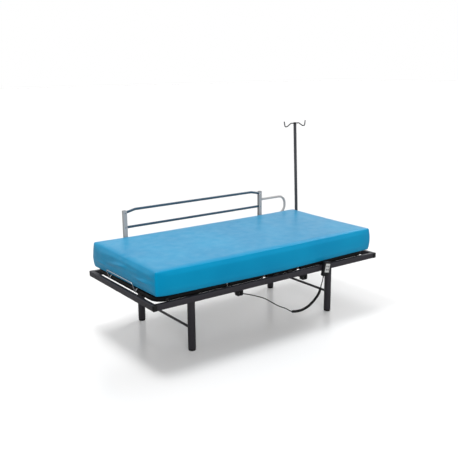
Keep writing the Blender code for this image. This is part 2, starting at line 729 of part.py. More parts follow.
def build_thigh():
    pivot = (THIGH_HINGE_X, 0, PLATFORM_Z)
    slat_xs = (KNEE_X + SLAT_FROM_HINGE, THIGH_HINGE_X - SLAT_FROM_HINGE)
    pieces = side_tubes(KNEE_X + HINGE_GAP, THIGH_HINGE_X - HINGE_GAP)
    pieces += [cross_tube(x) for x in (KNEE_X + CROSS_FROM_HINGE, THIGH_HINGE_X - CROSS_FROM_HINGE)]
    lugs, holes = inner_lugs(THIGH_HINGE_X, -1)
    pieces += lugs + outer_lugs(KNEE_X, 1)
    build_section("thigh", pieces, holes, slat_xs, pivot)


def build_calf():
    pivot = (KNEE_X, 0, PLATFORM_Z)
    slat_xs = spaced(KNEE_X - SLAT_FROM_HINGE, FOOT_END_X + SLAT_FROM_END, CALF_SLATS)
    hinge_cross = KNEE_X - CROSS_FROM_HINGE
    runner_cross = slat_xs[1] + SLAT_WIDTH / 2 + 2 * CROSS_RADIUS
    pieces = [end_tube(KNEE_X - HINGE_GAP, FOOT_END_X, -1)]
    pieces += [cross_tube(hinge_cross), cross_tube(runner_cross)]
    pieces += runners(hinge_cross, runner_cross)
    lugs, holes = inner_lugs(KNEE_X, -1)
    glide_z = RAIL_TOP + FIT + GLIDE_RADIUS
    glide_x = FOOT_END_X + GLIDE_FROM_END
    glide_inner = RAIL_INNER_Y + FIT
    for side in (-1, 1):
        root = (glide_x, side * TUBE_Y, glide_z)
        start = (glide_x, side * glide_inner, glide_z)
        end = (glide_x, side * (glide_inner + GLIDE_WIDTH), glide_z)
        middle = (glide_x, side * (glide_inner + GLIDE_WIDTH / 2), glide_z)
        pieces.append(cylinder(GLIDE_RADIUS, start, end, 16))
        pieces.append(cylinder(GLIDE_PIN_RADIUS, root, middle, 12))
    build_section("calf", pieces + lugs, holes, slat_xs, pivot)
    build_retainer(pivot)


def build_retainer(pivot):
    tube_x = FOOT_END_X - FIT
    elbow_x = FOOT_END_X - RETAINER_REACH
    elbow_z = PLATFORM_Z + RETAINER_LIFT
    top_x = elbow_x - RETAINER_LEAN
    top_z = elbow_z + RETAINER_RISE
    half = RETAINER_WIDTH / 2
    corners = [(tube_x, half, PLATFORM_Z), (elbow_x, half, elbow_z), (top_x, half, top_z)]
    corners += [mirrored(corner) for corner in reversed(corners)]
    wire = rod(rounded_path(corners, RETAINER_BEND, 3), RETAINER_WIRE, 1)
    node("mattress_retainer", wire, chrome_wire, origin=pivot)


def build_back():
    pivot = (BACK_HINGE_X, 0, PLATFORM_Z)
    slat_xs = spaced(BACK_HINGE_X + SLAT_FROM_HINGE, HEAD_END_X - SLAT_FROM_END, BACK_SLATS)
    hinge_cross = BACK_HINGE_X + CROSS_FROM_HINGE
    runner_cross = slat_xs[2] + SLAT_WIDTH / 2 + 2 * CROSS_RADIUS
    pieces = [end_tube(BACK_HINGE_X + HINGE_GAP, HEAD_END_X, 1)]
    pieces += [cross_tube(hinge_cross), cross_tube(runner_cross)]
    pieces += runners(hinge_cross, runner_cross)
    lugs, holes = inner_lugs(BACK_HINGE_X, 1)
    build_section("back", pieces + lugs, holes, slat_xs, pivot)


def lift_shaft(x, arm, towards):
    """Shaft across the bed with two arms, each ending in a roller under its runner."""
    reach = RAIL_Y
    pieces = [cylinder(SHAFT_RADIUS, (x, -reach, SHAFT_Z), (x, reach, SHAFT_Z))]
    rise = asin((ROLLER_Z - SHAFT_Z) / arm)
    tip_x = x + towards * arm * cos(rise)
    for side in (-1, 1):
        y = side * ARM_Y
        lever = box((arm, ARM_THICKNESS, ARM_HEIGHT), (arm / 2, 0, 0))
        slope = rise if towards > 0 else pi - rise
        lever.data.transform(Matrix.Translation((x, y, SHAFT_Z)) @ Matrix.Rotation(-slope, 4, "Y"))
        pieces.append(lever)
        half = ROLLER_WIDTH / 2
        pieces.append(cylinder(ROLLER_RADIUS, (tip_x, y - half, ROLLER_Z), (tip_x, y + half, ROLLER_Z)))
    return fused(pieces)


def build_lifting_gear():
    shafts = (("leg", LEG_SHAFT_X, LEG_ARM, -1), ("back", BACK_SHAFT_X, BACK_ARM, 1))
    bore_radius = SHAFT_RADIUS + RUNNING_FIT
    bearing_mid = RAIL_BOTTOM - FIT - BEARING_HEIGHT / 2
    for section, x, arm, towards in shafts:
        shaft = lift_shaft(x, arm, towards)
        node(f"{section}_lift_shaft", shaft, gear_steel, origin=(x, 0, SHAFT_Z))
        for side_name, side in (("near", -1), ("far", 1)):
            half_length = BEARING_LENGTH / 2
            top = RAIL_BOTTOM - FIT
            bottom = top - BEARING_HEIGHT
            outline = [(x - half_length, top)]
            outline += arc((x - half_length + BEARING_EDGE, bottom + BEARING_EDGE), BEARING_EDGE,
                           pi, 1.5 * pi, 4)
            outline += arc((x + half_length - BEARING_EDGE, bottom + BEARING_EDGE), BEARING_EDGE,
                           1.5 * pi, 2 * pi, 4)
            outline += [(x + half_length, top)]
            bearing = plate(outline, RAIL_DEPTH, side * RAIL_Y)
            bore = cylinder(bore_radius, (x, side * RAIL_Y - RAIL_DEPTH, SHAFT_Z),
                            (x, side * RAIL_Y + RAIL_DEPTH, SHAFT_Z))
            node(f"bearing_{section}_{side_name}", bearing, black_plastic,
                 origin=(x, side * RAIL_Y, bearing_mid), cuts=[bore])


def build_drive():
    """Housing of the twin drive: round ends on the two shafts and a deeper motor belly between them."""
    half = DRIVE_WIDTH / 2
    middle_x = (LEG_SHAFT_X + BACK_SHAFT_X) / 2
    span = BACK_SHAFT_X - LEG_SHAFT_X
    waist_size = (span, DRIVE_WIDTH - 2 * DRIVE_WAIST, 2 * (DRIVE_END_RADIUS - DRIVE_WAIST))
    belly_height = DRIVE_END_RADIUS + DRIVE_BELLY
    belly_size = (span - 2 * DRIVE_BELLY_INSET, DRIVE_WIDTH - DRIVE_WAIST, belly_height)
    pieces = [
        box(waist_size, (middle_x, 0, SHAFT_Z)),
        box(belly_size, (middle_x, 0, SHAFT_Z - belly_height / 2), DRIVE_EDGE),
    ]
    for x in (LEG_SHAFT_X, BACK_SHAFT_X):
        pieces.append(cylinder(DRIVE_END_RADIUS, (x, -half, SHAFT_Z), (x, half, SHAFT_Z), 24))
    gland_end = GLAND_FACE + Vector((0, FIT, 0))
    gland_root = gland_end + Vector((0, GLAND_LENGTH + GLAND_RADIUS, 0))
    pieces.append(cylinder(GLAND_RADIUS, gland_root, gland_end, 12))
    bores = [cylinder(SHAFT_RADIUS + RUNNING_FIT, (x, -DRIVE_WIDTH, SHAFT_Z), (x, DRIVE_WIDTH, SHAFT_Z))
             for x in (LEG_SHAFT_X, BACK_SHAFT_X)]
    node("drive_housing", fused(pieces), black_plastic, origin=(0, 0, SHAFT_Z), cuts=bores)


def upright(x, opening):
    """Channel of a side rail upright, open towards its partner, with the pins of the two bars."""
    bottom = RAIL_MID_Z - UPRIGHT_BELOW_PIVOT
    height = UPRIGHT_TOP - bottom
    middle_z = (UPRIGHT_TOP + bottom) / 2
    inner = UPRIGHT_SIZE - 2 * UPRIGHT_WALL
    body = box((UPRIGHT_SIZE, UPRIGHT_SIZE, height), (x, UPRIGHT_Y, middle_z))
    groove = box((UPRIGHT_SIZE, inner, 2 * height), (x + opening * UPRIGHT_WALL, UPRIGHT_Y, middle_z))
    boolean(body, groove, "DIFFERENCE")
    channel = baked(body)
    bpy.data.objects.remove(groove, do_unlink=True)
    pin_half = inner / 2 + UPRIGHT_WALL / 2
    pins = [cylinder(BAR_PIN_RADIUS, (x, UPRIGHT_Y - pin_half, z), (x, UPRIGHT_Y + pin_half, z), 12)
            for z in (TOP_BAR_PIVOT_Z, LOWER_BAR_Z)]
    return [channel] + pins


def build_side_rail():
    for end, x, opening in (("foot", UPRIGHT_FOOT_X, 1), ("head", UPRIGHT_HEAD_X, -1)):
        pivot = (x, UPRIGHT_Y, RAIL_MID_Z)
        plate_y = RAIL_OUTER_Y + FIT + BRACKET_PLATE / 2
        boss_end = RAIL_OUTER_Y + FIT + BRACKET_PLATE + BRACKET_BOSS
        head_start = UPRIGHT_Y + UPRIGHT_SIZE / 2 + FIT
        pieces = [
            box((BRACKET_LENGTH, BRACKET_PLATE, RAIL_HEIGHT), (x, plate_y, RAIL_MID_Z)),
            cylinder(BRACKET_BOSS_RADIUS, (x, plate_y, RAIL_MID_Z), (x, boss_end, RAIL_MID_Z)),
            cylinder(RAIL_PIVOT_RADIUS, (x, plate_y, RAIL_MID_Z), (x, head_start + FIT, RAIL_MID_Z), 12),
            cylinder(RAIL_PIVOT_HEAD_RADIUS, (x, head_start, RAIL_MID_Z),
                     (x, head_start + RAIL_PIVOT_HEAD, RAIL_MID_Z), 12),
        ]
        node(f"rail_bracket_{end}", fused(pieces), rail_grey, origin=(x, plate_y, RAIL_MID_Z))
        pieces = upright(x, opening)
        if end == "head":
            web_x = x + UPRIGHT_SIZE / 2 - UPRIGHT_WALL / 2
            tip_x = x + UPRIGHT_SIZE / 2 + LOOP_REACH
            bend = (LOOP_TOP_Z - LOOP_BOTTOM_Z) / 2 - FIT
            corners = [(web_x, UPRIGHT_Y, LOOP_TOP_Z), (tip_x, UPRIGHT_Y, LOOP_TOP_Z),
                       (tip_x, UPRIGHT_Y, LOOP_BOTTOM_Z), (web_x, UPRIGHT_Y, LOOP_BOTTOM_Z)]
            pieces.append(rod(rounded_path(corners, bend, 6), LOOP_RADIUS, 2))
        hole = cylinder(RAIL_PIVOT_RADIUS + FIT, (x, UPRIGHT_Y - UPRIGHT_SIZE, RAIL_MID_Z),
                        (x, UPRIGHT_Y + UPRIGHT_SIZE, RAIL_MID_Z), 12)
        node(f"rail_upright_{end}", fused(pieces), rail_grey, origin=pivot, cuts=[hole])
    straight_z = TOP_BAR_PIVOT_Z + TOP_BAR_RISE
    top_corners = [
        (UPRIGHT_FOOT_X, UPRIGHT_Y, TOP_BAR_PIVOT_Z),
        (UPRIGHT_FOOT_X + TOP_BAR_RUN, UPRIGHT_Y, straight_z),
        (UPRIGHT_HEAD_X - TOP_BAR_RUN, UPRIGHT_Y, straight_z),
        (UPRIGHT_HEAD_X, UPRIGHT_Y, TOP_BAR_PIVOT_Z),
    ]
    lower_ends = [(x, UPRIGHT_Y, LOWER_BAR_Z) for x in (UPRIGHT_FOOT_X, UPRIGHT_HEAD_X)]
    paths = (("rail_top_bar", rounded_path(top_corners, TOP_BAR_BEND, 3)),
             ("rail_lower_bar", [Vector(point) for point in lower_ends]))
    for name, path in paths:
        bar = fused([rod(path, BAR_RADIUS), ball(BAR_RADIUS, path[0]), ball(BAR_RADIUS, path[-1])])
        across = Vector((0, UPRIGHT_SIZE, 0))
        holes = [cylinder(BAR_PIN_RADIUS + FIT, end - across, end + across, 12)
                 for end in (path[0], path[-1])]
        node(name, bar, bar_slate, origin=path[0], cuts=holes)


def build_drip_stand():
    """Socket in the frame's corner, pole and double hook, all on one leaning axis."""
    base = Vector((STAND_X, STAND_Y, RAIL_TOP))
    lean = Matrix.Translation(base) @ Matrix.Rotation(-STAND_LEAN, 4, "X")
    floor = -SOCKET_BELOW_RAIL - RAIL_HEIGHT
    socket_profile = (
        (STAND_RADIUS + RUNNING_FIT, SOCKET_ABOVE_RAIL),
        (SOCKET_RADIUS, SOCKET_ABOVE_RAIL),
        (SOCKET_RADIUS, floor - SOCKET_FLOOR),
        (0, floor - SOCKET_FLOOR),
    )
    bore_profile = ((0, floor), (STAND_RADIUS + RUNNING_FIT, floor))
    inner_wall = bore_profile + socket_profile
    pole_top = STAND_HEIGHT / cos(STAND_LEAN)
    pole_profile = ((0, pole_top), (STAND_RADIUS, pole_top), (STAND_RADIUS, floor + FIT), (0, floor + FIT))
    cap_top = pole_top + FIT + HOOK_CAP_HEIGHT
    cap_profile = ((0, cap_top), (HOOK_CAP_RADIUS, cap_top), (HOOK_CAP_RADIUS, pole_top + FIT),
                   (0, pole_top + FIT))
    wire_z = pole_top + FIT + HOOK_CAP_HEIGHT / 2
    half = [
        (HOOK_REACH, 0, wire_z + HOOK_TIP_RISE),
        (HOOK_REACH - HOOK_DIP_FROM_TIP / 2, 0, wire_z - HOOK_DIP),
        (HOOK_REACH - HOOK_DIP_FROM_TIP * 2, 0, wire_z - HOOK_DIP),
        (HOOK_FLAT, 0, wire_z),
    ]
    corners = half + [(-x, y, z) for x, y, z in reversed(half)]
    wire = rod(rounded_path(corners, HOOK_BEND, 3), HOOK_WIRE, 1)
    pieces = (
        ("iv_socket", turned(inner_wall, 20), frame_paint),
        ("iv_pole", turned(pole_profile, 20), stand_grey),
        ("iv_hook", fused([turned(cap_profile, 20), wire]), stand_grey),
    )
    for name, piece, material in pieces:
        piece.data.transform(lean)
        node(name, piece, material, origin=base)


def tilted(piece):
    """Turns a piece of the hand control to the slant at which it hangs from its hook."""
    piece.data.transform(HANDSET_TURN)
    return piece


def build_handset():
    middle = (HANDSET_X, HANDSET_MID_Y, HANDSET_BOTTOM + HANDSET_HEIGHT / 2)
    body = tilted(box((HANDSET_WIDTH, HANDSET_DEPTH, HANDSET_HEIGHT), middle, HANDSET_EDGE))
    strip_z = RAIL_TOP + FIT + HANDSET_HOOK / 2
    strip_inner = -RAIL_INNER_Y + FIT + HANDSET_HOOK
    strip_size = (HANDSET_HOOK_WIDTH, strip_inner - HANDSET_MID_Y, HANDSET_HOOK)
    lip_size = (HANDSET_HOOK_WIDTH, HANDSET_HOOK, HANDSET_HOOK_LIP)
    lip_z = RAIL_TOP + FIT + HANDSET_HOOK - HANDSET_HOOK_LIP / 2
    relief_end = RELIEF_FACE - RELIEF_WAY * FIT
    relief_root = relief_end - RELIEF_WAY * (RELIEF_LENGTH + HANDSET_EDGE)
    pieces = [
        body,
        box(strip_size, (HANDSET_X, (strip_inner + HANDSET_MID_Y) / 2, strip_z)),
        box(lip_size, (HANDSET_X, strip_inner - HANDSET_HOOK / 2, lip_z - FIT)),
        cylinder(RELIEF_RADIUS, relief_root, relief_end, 12),
    ]
    seat_depth = 2 * KEYPAD_SEAT
    seat = tilted(box((KEYPAD_WIDTH + 2 * FIT, seat_depth, KEYPAD_HEIGHT + 2 * FIT),
                      (HANDSET_X, HANDSET_FRONT_Y, KEYPAD_Z)))
    button_back = HANDSET_FRONT_Y + KEYPAD_SEAT + BUTTON_TRAVEL + FIT
    button_front = KEYPAD_FRONT_Y - BUTTON_PROUD
    pocket_size = BUTTON_SIZE + 2 * FIT
    places = [(HANDSET_X + column * BUTTON_PITCH_X / 2, KEYPAD_Z + row * BUTTON_PITCH_Z / 2)
              for row in (1, -1) for column in (-1, 1)]
    body_cuts = [seat]
    keypad_cuts = []
    pocket_floor = button_back + BUTTON_TRAVEL + FIT
    for x, z in places:
        pocket = (pocket_size, pocket_floor - button_front, pocket_size)
        pocket_y = (pocket_floor + button_front) / 2
        body_cuts.append(tilted(box(pocket, (x, pocket_y, z))))
        keypad_cuts.append(tilted(box(pocket, (x, pocket_y, z))))
    node("handset_body", fused(pieces), black_plastic, origin=HANDSET_PIVOT, cuts=body_cuts)
    keypad_middle = (HANDSET_X, KEYPAD_FRONT_Y + KEYPAD_THICKNESS / 2 - FIT, KEYPAD_Z)
    keypad = tilted(box((KEYPAD_WIDTH, KEYPAD_THICKNESS, KEYPAD_HEIGHT), keypad_middle))
    node("handset_keypad", keypad, keypad_grey, origin=HANDSET_PIVOT, cuts=keypad_cuts)
    names = ("back_up", "back_down", "legs_up", "legs_down")
    for name, (x, z) in zip(names, places):
        size = (BUTTON_SIZE, button_back - button_front, BUTTON_SIZE)
        key = tilted(box(size, (x, (button_back + button_front) / 2, z)))
        node(f"button_{name}", key, button_dark, origin=HANDSET_TURN @ Vector((x, button_back, z)))


def smooth_route(points, step):
    """Even points along a smooth curve through hand-chosen points."""
    ends = [points[0] * 2 - points[1]] + points + [points[-1] * 2 - points[-2]]
    dense = []
    for first, second, third, fourth in zip(ends, ends[1:], ends[2:], ends[3:]):
        for sample in range(40):
            t = sample / 40
            dense.append(0.5 * (2 * second + (third - first) * t
                                + (2 * first - 5 * second + 4 * third - fourth) * t ** 2
                                + (3 * second - first - 3 * third + fourth) * t ** 3))
    dense.append(points[-1])
    even = [dense[0]]
    travelled = 0.0
    for before, after in zip(dense, dense[1:]):
        travelled += (after - before).length
        if travelled >= step:
            even.append(after)
            travelled = 0.0
    if (even[-1] - dense[-1]).length < step / 2:
        even.pop()
    even.append(dense[-1])
    return even


def curls(route, count):
    """Helix around a route, growing from its ends over one curl."""
    radius = CURL_OUTER_RADIUS - CORD_RADIUS
    total = count * POINTS_PER_CURL
    lengths = [0.0]
    for before, after in zip(route, route[1:]):
        lengths.append(lengths[-1] + (after - before).length)
    points = []
    leg = 0
    across = Vector((0, 1, 0))
    for number in range(total + 1):
        distance = lengths[-1] * number / total
        while leg < len(route) - 2 and lengths[leg + 1] < distance:
            leg += 1
        share = (distance - lengths[leg]) / (lengths[leg + 1] - lengths[leg])
        centre = route[leg].lerp(route[leg + 1], share)
        along = (route[leg + 1] - route[leg]).normalized()
        side = along.cross(across).normalized()
        turn = 2 * pi * number / POINTS_PER_CURL
        swell = radius * min(1.0, number / POINTS_PER_CURL, (total - number) / POINTS_PER_CURL)
        points.append(centre + (side * cos(turn) + across * sin(turn)) * swell)
    return points


def least_self_gap(points):
    """Clear distance between stretches of the cord that lie beside each other."""
    apart = POINTS_PER_CURL // 2 + 1
    nearest = min((points[first] - points[second]).length
                  for first in range(len(points))
                  for second in range(first + apart, min(first + 3 * POINTS_PER_CURL, len(points))))
    return nearest - 2 * CORD_RADIUS


def routed(start, offsets):
    return [start + Vector(offset) for offset in offsets]


def build_cord():
    straight = 2 * CORD_RADIUS
    lead_route = [GLAND_FACE + Vector((0, -straight, 0))]
    lead_route += routed(GLAND_FACE, LEAD_FROM_GLAND) + routed(RELIEF_FACE, LEAD_FROM_RELIEF)
    curl_route = lead_route[-1:] + routed(RELIEF_FACE, CURL_FROM_RELIEF)
    tail_route = curl_route[-1:] + routed(RELIEF_FACE, TAIL_FROM_RELIEF)
    tail_route.append(RELIEF_FACE + RELIEF_WAY * straight)
    lead = smooth_route(lead_route, LEAD_STEP)
    curly = curls(smooth_route(curl_route, LEAD_STEP), CURLS)
    tail = smooth_route(tail_route, LEAD_STEP)
    points = [GLAND_FACE] + lead + curly[1:-1] + tail + [RELIEF_FACE]
    print(f"cord: least gap to itself {least_self_gap(curly) * 1000:.2f} mm, {len(points)} points")
    node("handset_cord", rod(points, CORD_RADIUS, 1), black_plastic, origin=GLAND_FACE)


def rounded_stops(start, end, step, round_start, round_end):
    """Places of the edge loops along one direction, closer where the edge is rounded."""
    depths = [1 - cos(pi / 2 * number / ROUND_STEPS) for number in range(1, ROUND_STEPS + 1)]
    first = start + round_start
    last = end - round_end
    count = max(1, round((last - first) / step))
    stops = [start]
    if round_start:
        stops += [start + round_start * depth for depth in depths]
    stops += [first + (last - first) * number / count for number in range(1, count + 1)]
    if round_end:
        stops += [end - round_end * depth for depth in reversed([0.0] + depths[:-1])]
    return stops


def soft_block(point):
    """Moves a point of the plain block onto the mattress form: rounded, crowned and full-sided."""
    half = Vector((PLATFORM_LENGTH / 2, MATTRESS_WIDTH / 2, MATTRESS_THICKNESS / 2))
    radii = Vector((MATTRESS_PLAN_RADIUS, MATTRESS_PLAN_RADIUS, MATTRESS_EDGE_RADIUS))
    centre = Vector((MATTRESS_MID_X, 0, MATTRESS_BOTTOM + half.z))
    local = point - centre
    inner = Vector([max(-h + r, min(h - r, c)) for c, h, r in zip(local, half, radii)])
    over = Vector([(c - i) / r for c, i, r in zip(local, inner, radii)])
    if over.length > 0:
        over *= max(abs(value) for value in over) / over.length
    shaped = inner + Vector([o * r for o, r in zip(over, radii)])
    across = local.y / half.y
    along = local.x / half.x
    height = local.z / half.z
    fullness = 1 - height ** 2
    if local.z > 0:
        shaped.z += MATTRESS_CROWN * height * (1 - across ** 2) * (1 - along ** 4)
    shaped.y += MATTRESS_BULGE * fullness * across ** 3
    shaped.x += MATTRESS_BULGE * fullness * along ** 15
    return shaped + centre


def build_mattress():
    top = MATTRESS_BOTTOM + MATTRESS_THICKNESS
    half_width = MATTRESS_WIDTH / 2
    sections = (
        ("calf", FOOT_END_X, KNEE_X - FIT / 2, MATTRESS_PLAN_RADIUS, 0, KNEE_X),
        ("thigh", KNEE_X + FIT / 2, THIGH_HINGE_X - FIT / 2, 0, 0, THIGH_HINGE_X),
        ("seat", THIGH_HINGE_X + FIT / 2, BACK_HINGE_X - FIT / 2, 0, 0, 0),
        ("back", BACK_HINGE_X + FIT / 2, HEAD_END_X, 0, MATTRESS_PLAN_RADIUS, BACK_HINGE_X),
    )
    y_stops = rounded_stops(-half_width, half_width, MATTRESS_STEP_Y,
                            MATTRESS_PLAN_RADIUS, MATTRESS_PLAN_RADIUS)
    z_stops = rounded_stops(MATTRESS_BOTTOM, top, MATTRESS_STEP_Z,
                            MATTRESS_EDGE_RADIUS, MATTRESS_EDGE_RADIUS)
    for name, start, end, round_start, round_end, pivot_x in sections:
        x_stops = rounded_stops(start, end, MATTRESS_STEP_X, round_start, round_end)
        bm = bmesh.new()
        bmesh.ops.create_cube(bm, size=1)
        size = (end - start, MATTRESS_WIDTH, MATTRESS_THICKNESS)
        bmesh.ops.scale(bm, vec=size, verts=bm.verts)
        bmesh.ops.translate(bm, vec=((start + end) / 2, 0, (MATTRESS_BOTTOM + top) / 2), verts=bm.verts)
        for axis, stops in enumerate((x_stops, y_stops, z_stops)):
            normal = Vector((0, 0, 0))
            normal[axis] = 1
            for stop in stops[1:-1]:
                bmesh.ops.bisect_plane(bm, geom=bm.verts[:] + bm.edges[:] + bm.faces[:],
                                       plane_co=normal * stop, plane_no=normal)
        for vert in bm.verts:
            vert.co = soft_block(vert.co)
        block = from_bmesh(bm)
        node(f"mattress_{name}", block, mattress_blue, origin=(pivot_x, 0, PLATFORM_Z))


build_base_frame()
build_legs()
build_seat()
build_thigh()
build_calf()
build_back()
build_lifting_gear()
build_drive()
build_side_rail()
build_drip_stand()
build_handset()
build_cord()
build_mattress()
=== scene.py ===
import math

import bmesh
import bpy
from mathutils import Matrix, Quaternion, Vector, noise


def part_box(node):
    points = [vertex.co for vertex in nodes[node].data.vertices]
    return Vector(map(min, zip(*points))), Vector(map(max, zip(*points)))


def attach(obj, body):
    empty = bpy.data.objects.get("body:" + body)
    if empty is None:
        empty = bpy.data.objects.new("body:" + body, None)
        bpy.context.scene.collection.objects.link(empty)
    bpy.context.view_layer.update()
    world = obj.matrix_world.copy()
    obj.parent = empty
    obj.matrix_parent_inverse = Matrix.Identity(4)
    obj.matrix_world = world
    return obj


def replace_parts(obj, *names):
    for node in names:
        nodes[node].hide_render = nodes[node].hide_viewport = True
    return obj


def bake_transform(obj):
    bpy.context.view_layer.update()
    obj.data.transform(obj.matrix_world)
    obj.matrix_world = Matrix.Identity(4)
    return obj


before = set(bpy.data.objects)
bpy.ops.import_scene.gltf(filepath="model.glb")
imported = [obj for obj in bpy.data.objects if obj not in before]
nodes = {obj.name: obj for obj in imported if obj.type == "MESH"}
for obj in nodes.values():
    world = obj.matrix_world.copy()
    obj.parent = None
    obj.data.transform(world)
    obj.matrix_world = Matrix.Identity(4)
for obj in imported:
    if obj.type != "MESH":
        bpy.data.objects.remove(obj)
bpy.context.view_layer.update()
scene = bpy.context.scene
bedMiddle = Vector((-0.0397, -0.0028, 0.0))  # the bed's own middle, seen from the frame's origin
print("frame:", len(nodes), "nodes")


def at(x, y, z):
    return Vector((x, y, z)) + bedMiddle


def linear(colour):
    return [((c / 255 + 0.055) / 1.055) ** 2.4 if c > 10 else c / 255 / 12.92 for c in colour]


def linked(name, data):
    made = bpy.data.objects.new(name, data)
    scene.collection.objects.link(made)
    return made


# Finishes

def setSockets(node, values):
    for socket, value in values.items():
        node.inputs[socket].default_value = value


def newFinish(name):
    made = bpy.data.materials.new(name)
    made.use_nodes = True
    return made, made.node_tree, made.node_tree.nodes["Principled BSDF"]


def objectNoise(tree, scale, detail=3.0, stretch=(1.0, 1.0, 1.0)):
    coords = tree.nodes.new("ShaderNodeTexCoord")
    mapping = tree.nodes.new("ShaderNodeMapping")
    setSockets(mapping, {"Scale": stretch})
    texture = tree.nodes.new("ShaderNodeTexNoise")
    setSockets(texture, {"Scale": scale, "Detail": detail})
    tree.links.new(coords.outputs["Object"], mapping.inputs["Vector"])
    tree.links.new(mapping.outputs["Vector"], texture.inputs["Vector"])
    return texture.outputs["Fac"]


noiseSpan = {"value": (0.3, 0.7), "colour": (0.35, 0.65)}  # the part of a noise's range that does the work


def ranged(tree, factor, low, high):
    node = tree.nodes.new("ShaderNodeMapRange")
    first, last = noiseSpan["value"]
    setSockets(node, {"From Min": first, "From Max": last, "To Min": low, "To Max": high})
    tree.links.new(factor, node.inputs["Value"])
    return node.outputs["Result"]


def drifting(tree, factor, dark, light):
    node = tree.nodes.new("ShaderNodeValToRGB")
    first, last = node.color_ramp.elements
    first.position, last.position = noiseSpan["colour"]
    first.color, last.color = (*dark, 1.0), (*light, 1.0)
    tree.links.new(factor, node.inputs["Fac"])
    return node.outputs["Color"]


def bumped(tree, shader, height, strength, depth):
    node = tree.nodes.new("ShaderNodeBump")
    setSockets(node, {"Strength": strength, "Distance": depth})
    tree.links.new(height, node.inputs["Height"])
    tree.links.new(node.outputs["Normal"], shader.inputs["Normal"])


def makeFinish(name, spec):
    made, tree, shader = newFinish(name)
    patches = objectNoise(tree, *spec["patch"])
    tree.links.new(drifting(tree, patches, spec["dark"], spec["light"]), shader.inputs["Base Color"])
    wear = objectNoise(tree, *spec["wear"]) if "wear" in spec else patches
    tree.links.new(ranged(tree, wear, *spec["rough"]), shader.inputs["Roughness"])
    setSockets(shader, spec["sockets"])
    bumped(tree, shader, objectNoise(tree, *spec["grain"]), spec["bump"], spec["depth"])
    return made


def plainFinish(name, spec):
    base = linear(spec["colour"])
    shades = {"dark": [c * (1 - spec["drift"]) for c in base], "light": [c * (1 + spec["drift"]) for c in base]}
    sockets = {"Metallic": spec["metal"], "Specular IOR Level": spec["gloss"]}
    return makeFinish(name, {**spec, **shades, "sockets": sockets, "grain": (spec["grain"], 2.0)})


# A noise is given by its scale, detail and stretch
finishUsual = {"drift": 0.1, "patch": (5.0,), "wear": (30.0,), "metal": 0.0, "gloss": 0.5, "grain": 700,
               "bump": 0.2, "depth": 0.0004}
finishSpecs = {
    "anthracite_paint": {"colour": (43, 41, 46), "rough": (0.4, 0.52), "gloss": 0.3},
    "dark_leg_paint": {"colour": (38, 36, 41), "rough": (0.38, 0.5)},
    "black_paint": {"colour": (10, 10, 11), "rough": (0.5, 0.62), "gloss": 0.12},
    "black_plastic": {"colour": (16, 16, 17), "rough": (0.46, 0.6), "gloss": 0.3, "grain": 1500, "bump": 0.25,
                      "depth": 0.0003},
    "gear_steel": {"colour": (150, 150, 148), "rough": (0.32, 0.46), "metal": 1.0, "grain": 400, "bump": 0.1,
                   "depth": 0.0003},
    "chrome_wire": {"colour": (186, 188, 192), "rough": (0.16, 0.24), "metal": 1.0, "drift": 0.04, "grain": 300,
                    "bump": 0.05, "depth": 0.0002},
    "rail_grey": {"colour": (163, 161, 160), "rough": (0.34, 0.46), "drift": 0.05},
    "bar_slate": {"colour": (36, 66, 84), "rough": (0.3, 0.42), "drift": 0.06, "bump": 0.15},
    "stand_grey": {"colour": (50, 51, 55), "rough": (0.3, 0.42), "bump": 0.15},
    "keypad_grey": {"colour": (190, 192, 190), "rough": (0.4, 0.52), "drift": 0.03, "grain": 1500, "bump": 0.15,
                    "depth": 0.0002},
    "button_dark": {"colour": (62, 64, 68), "rough": (0.5, 0.6), "grain": 1800, "depth": 0.0002},
}
finishes = {slot: plainFinish(slot, {**finishUsual, **spec}) for slot, spec in finishSpecs.items()}

finishes["slat_wood"] = makeFinish("slat_wood", {
    "dark": linear((190, 146, 98)), "light": linear((222, 184, 134)), "patch": (26.0, 6.0, (5.0, 0.35, 5.0)),
    "rough": (0.42, 0.55), "sockets": {}, "grain": (60.0, 4.0, (5.0, 0.3, 5.0)), "bump": 0.2, "depth": 0.0004,
})
finishes["mattress_blue"] = makeFinish("mattress_blue", {
    "dark": (0.0015, 0.224, 0.424), "light": (0.0025, 0.26, 0.47), "patch": (2.4, 2.0), "wear": (14.0,),
    "rough": (0.32, 0.42),
    "sockets": {"Specular IOR Level": 0.55, "Specular Tint": (0.0, 0.5, 1.0, 1.0), "Sheen Weight": 0.03},
    "grain": (900.0, 2.0), "bump": 0.25, "depth": 0.0004,
})
for node in nodes.values():
    slotName = node.data.materials[0].name.split(".")[0]
    node.data.materials[0] = finishes[slotName]
print("finishes:", len(finishes))


# Shaping helpers

def stamp(bm, part, where):
    bmesh.ops.transform(part, matrix=where, verts=part.verts[:])
    held = bpy.data.meshes.new("stamp")
    part.to_mesh(held)
    part.free()
    bm.from_mesh(held)
    bpy.data.meshes.remove(held)


def rounded(bm, edges, offset, steps):
    bmesh.ops.bevel(bm, geom=edges, offset=offset, segments=steps, profile=0.5, affect="EDGES", material=-1)


def running(bm, axis, least=1e-6):
    # the edges that run along an axis
    return [e for e in bm.edges if abs((e.verts[0].co - e.verts[1].co)[axis]) > least]


def addBlock(bm, low, high, edge=0.0, steps=3, along=None):
    part = bmesh.new()
    bmesh.ops.create_cube(part, size=1.0)
    bmesh.ops.scale(part, vec=high - low, verts=part.verts[:])
    if edge:
        rounded(part, part.edges[:] if along is None else running(part, along), edge, steps)
    stamp(bm, part, Matrix.Translation((low + high) / 2))


def around(middle, half):
    return middle - half, middle + half


def addSpan(bm, spanX, spanY, spanZ, *form):
    low, high = zip(spanX, spanY, spanZ)
    addBlock(bm, at(*low), at(*high), *form)


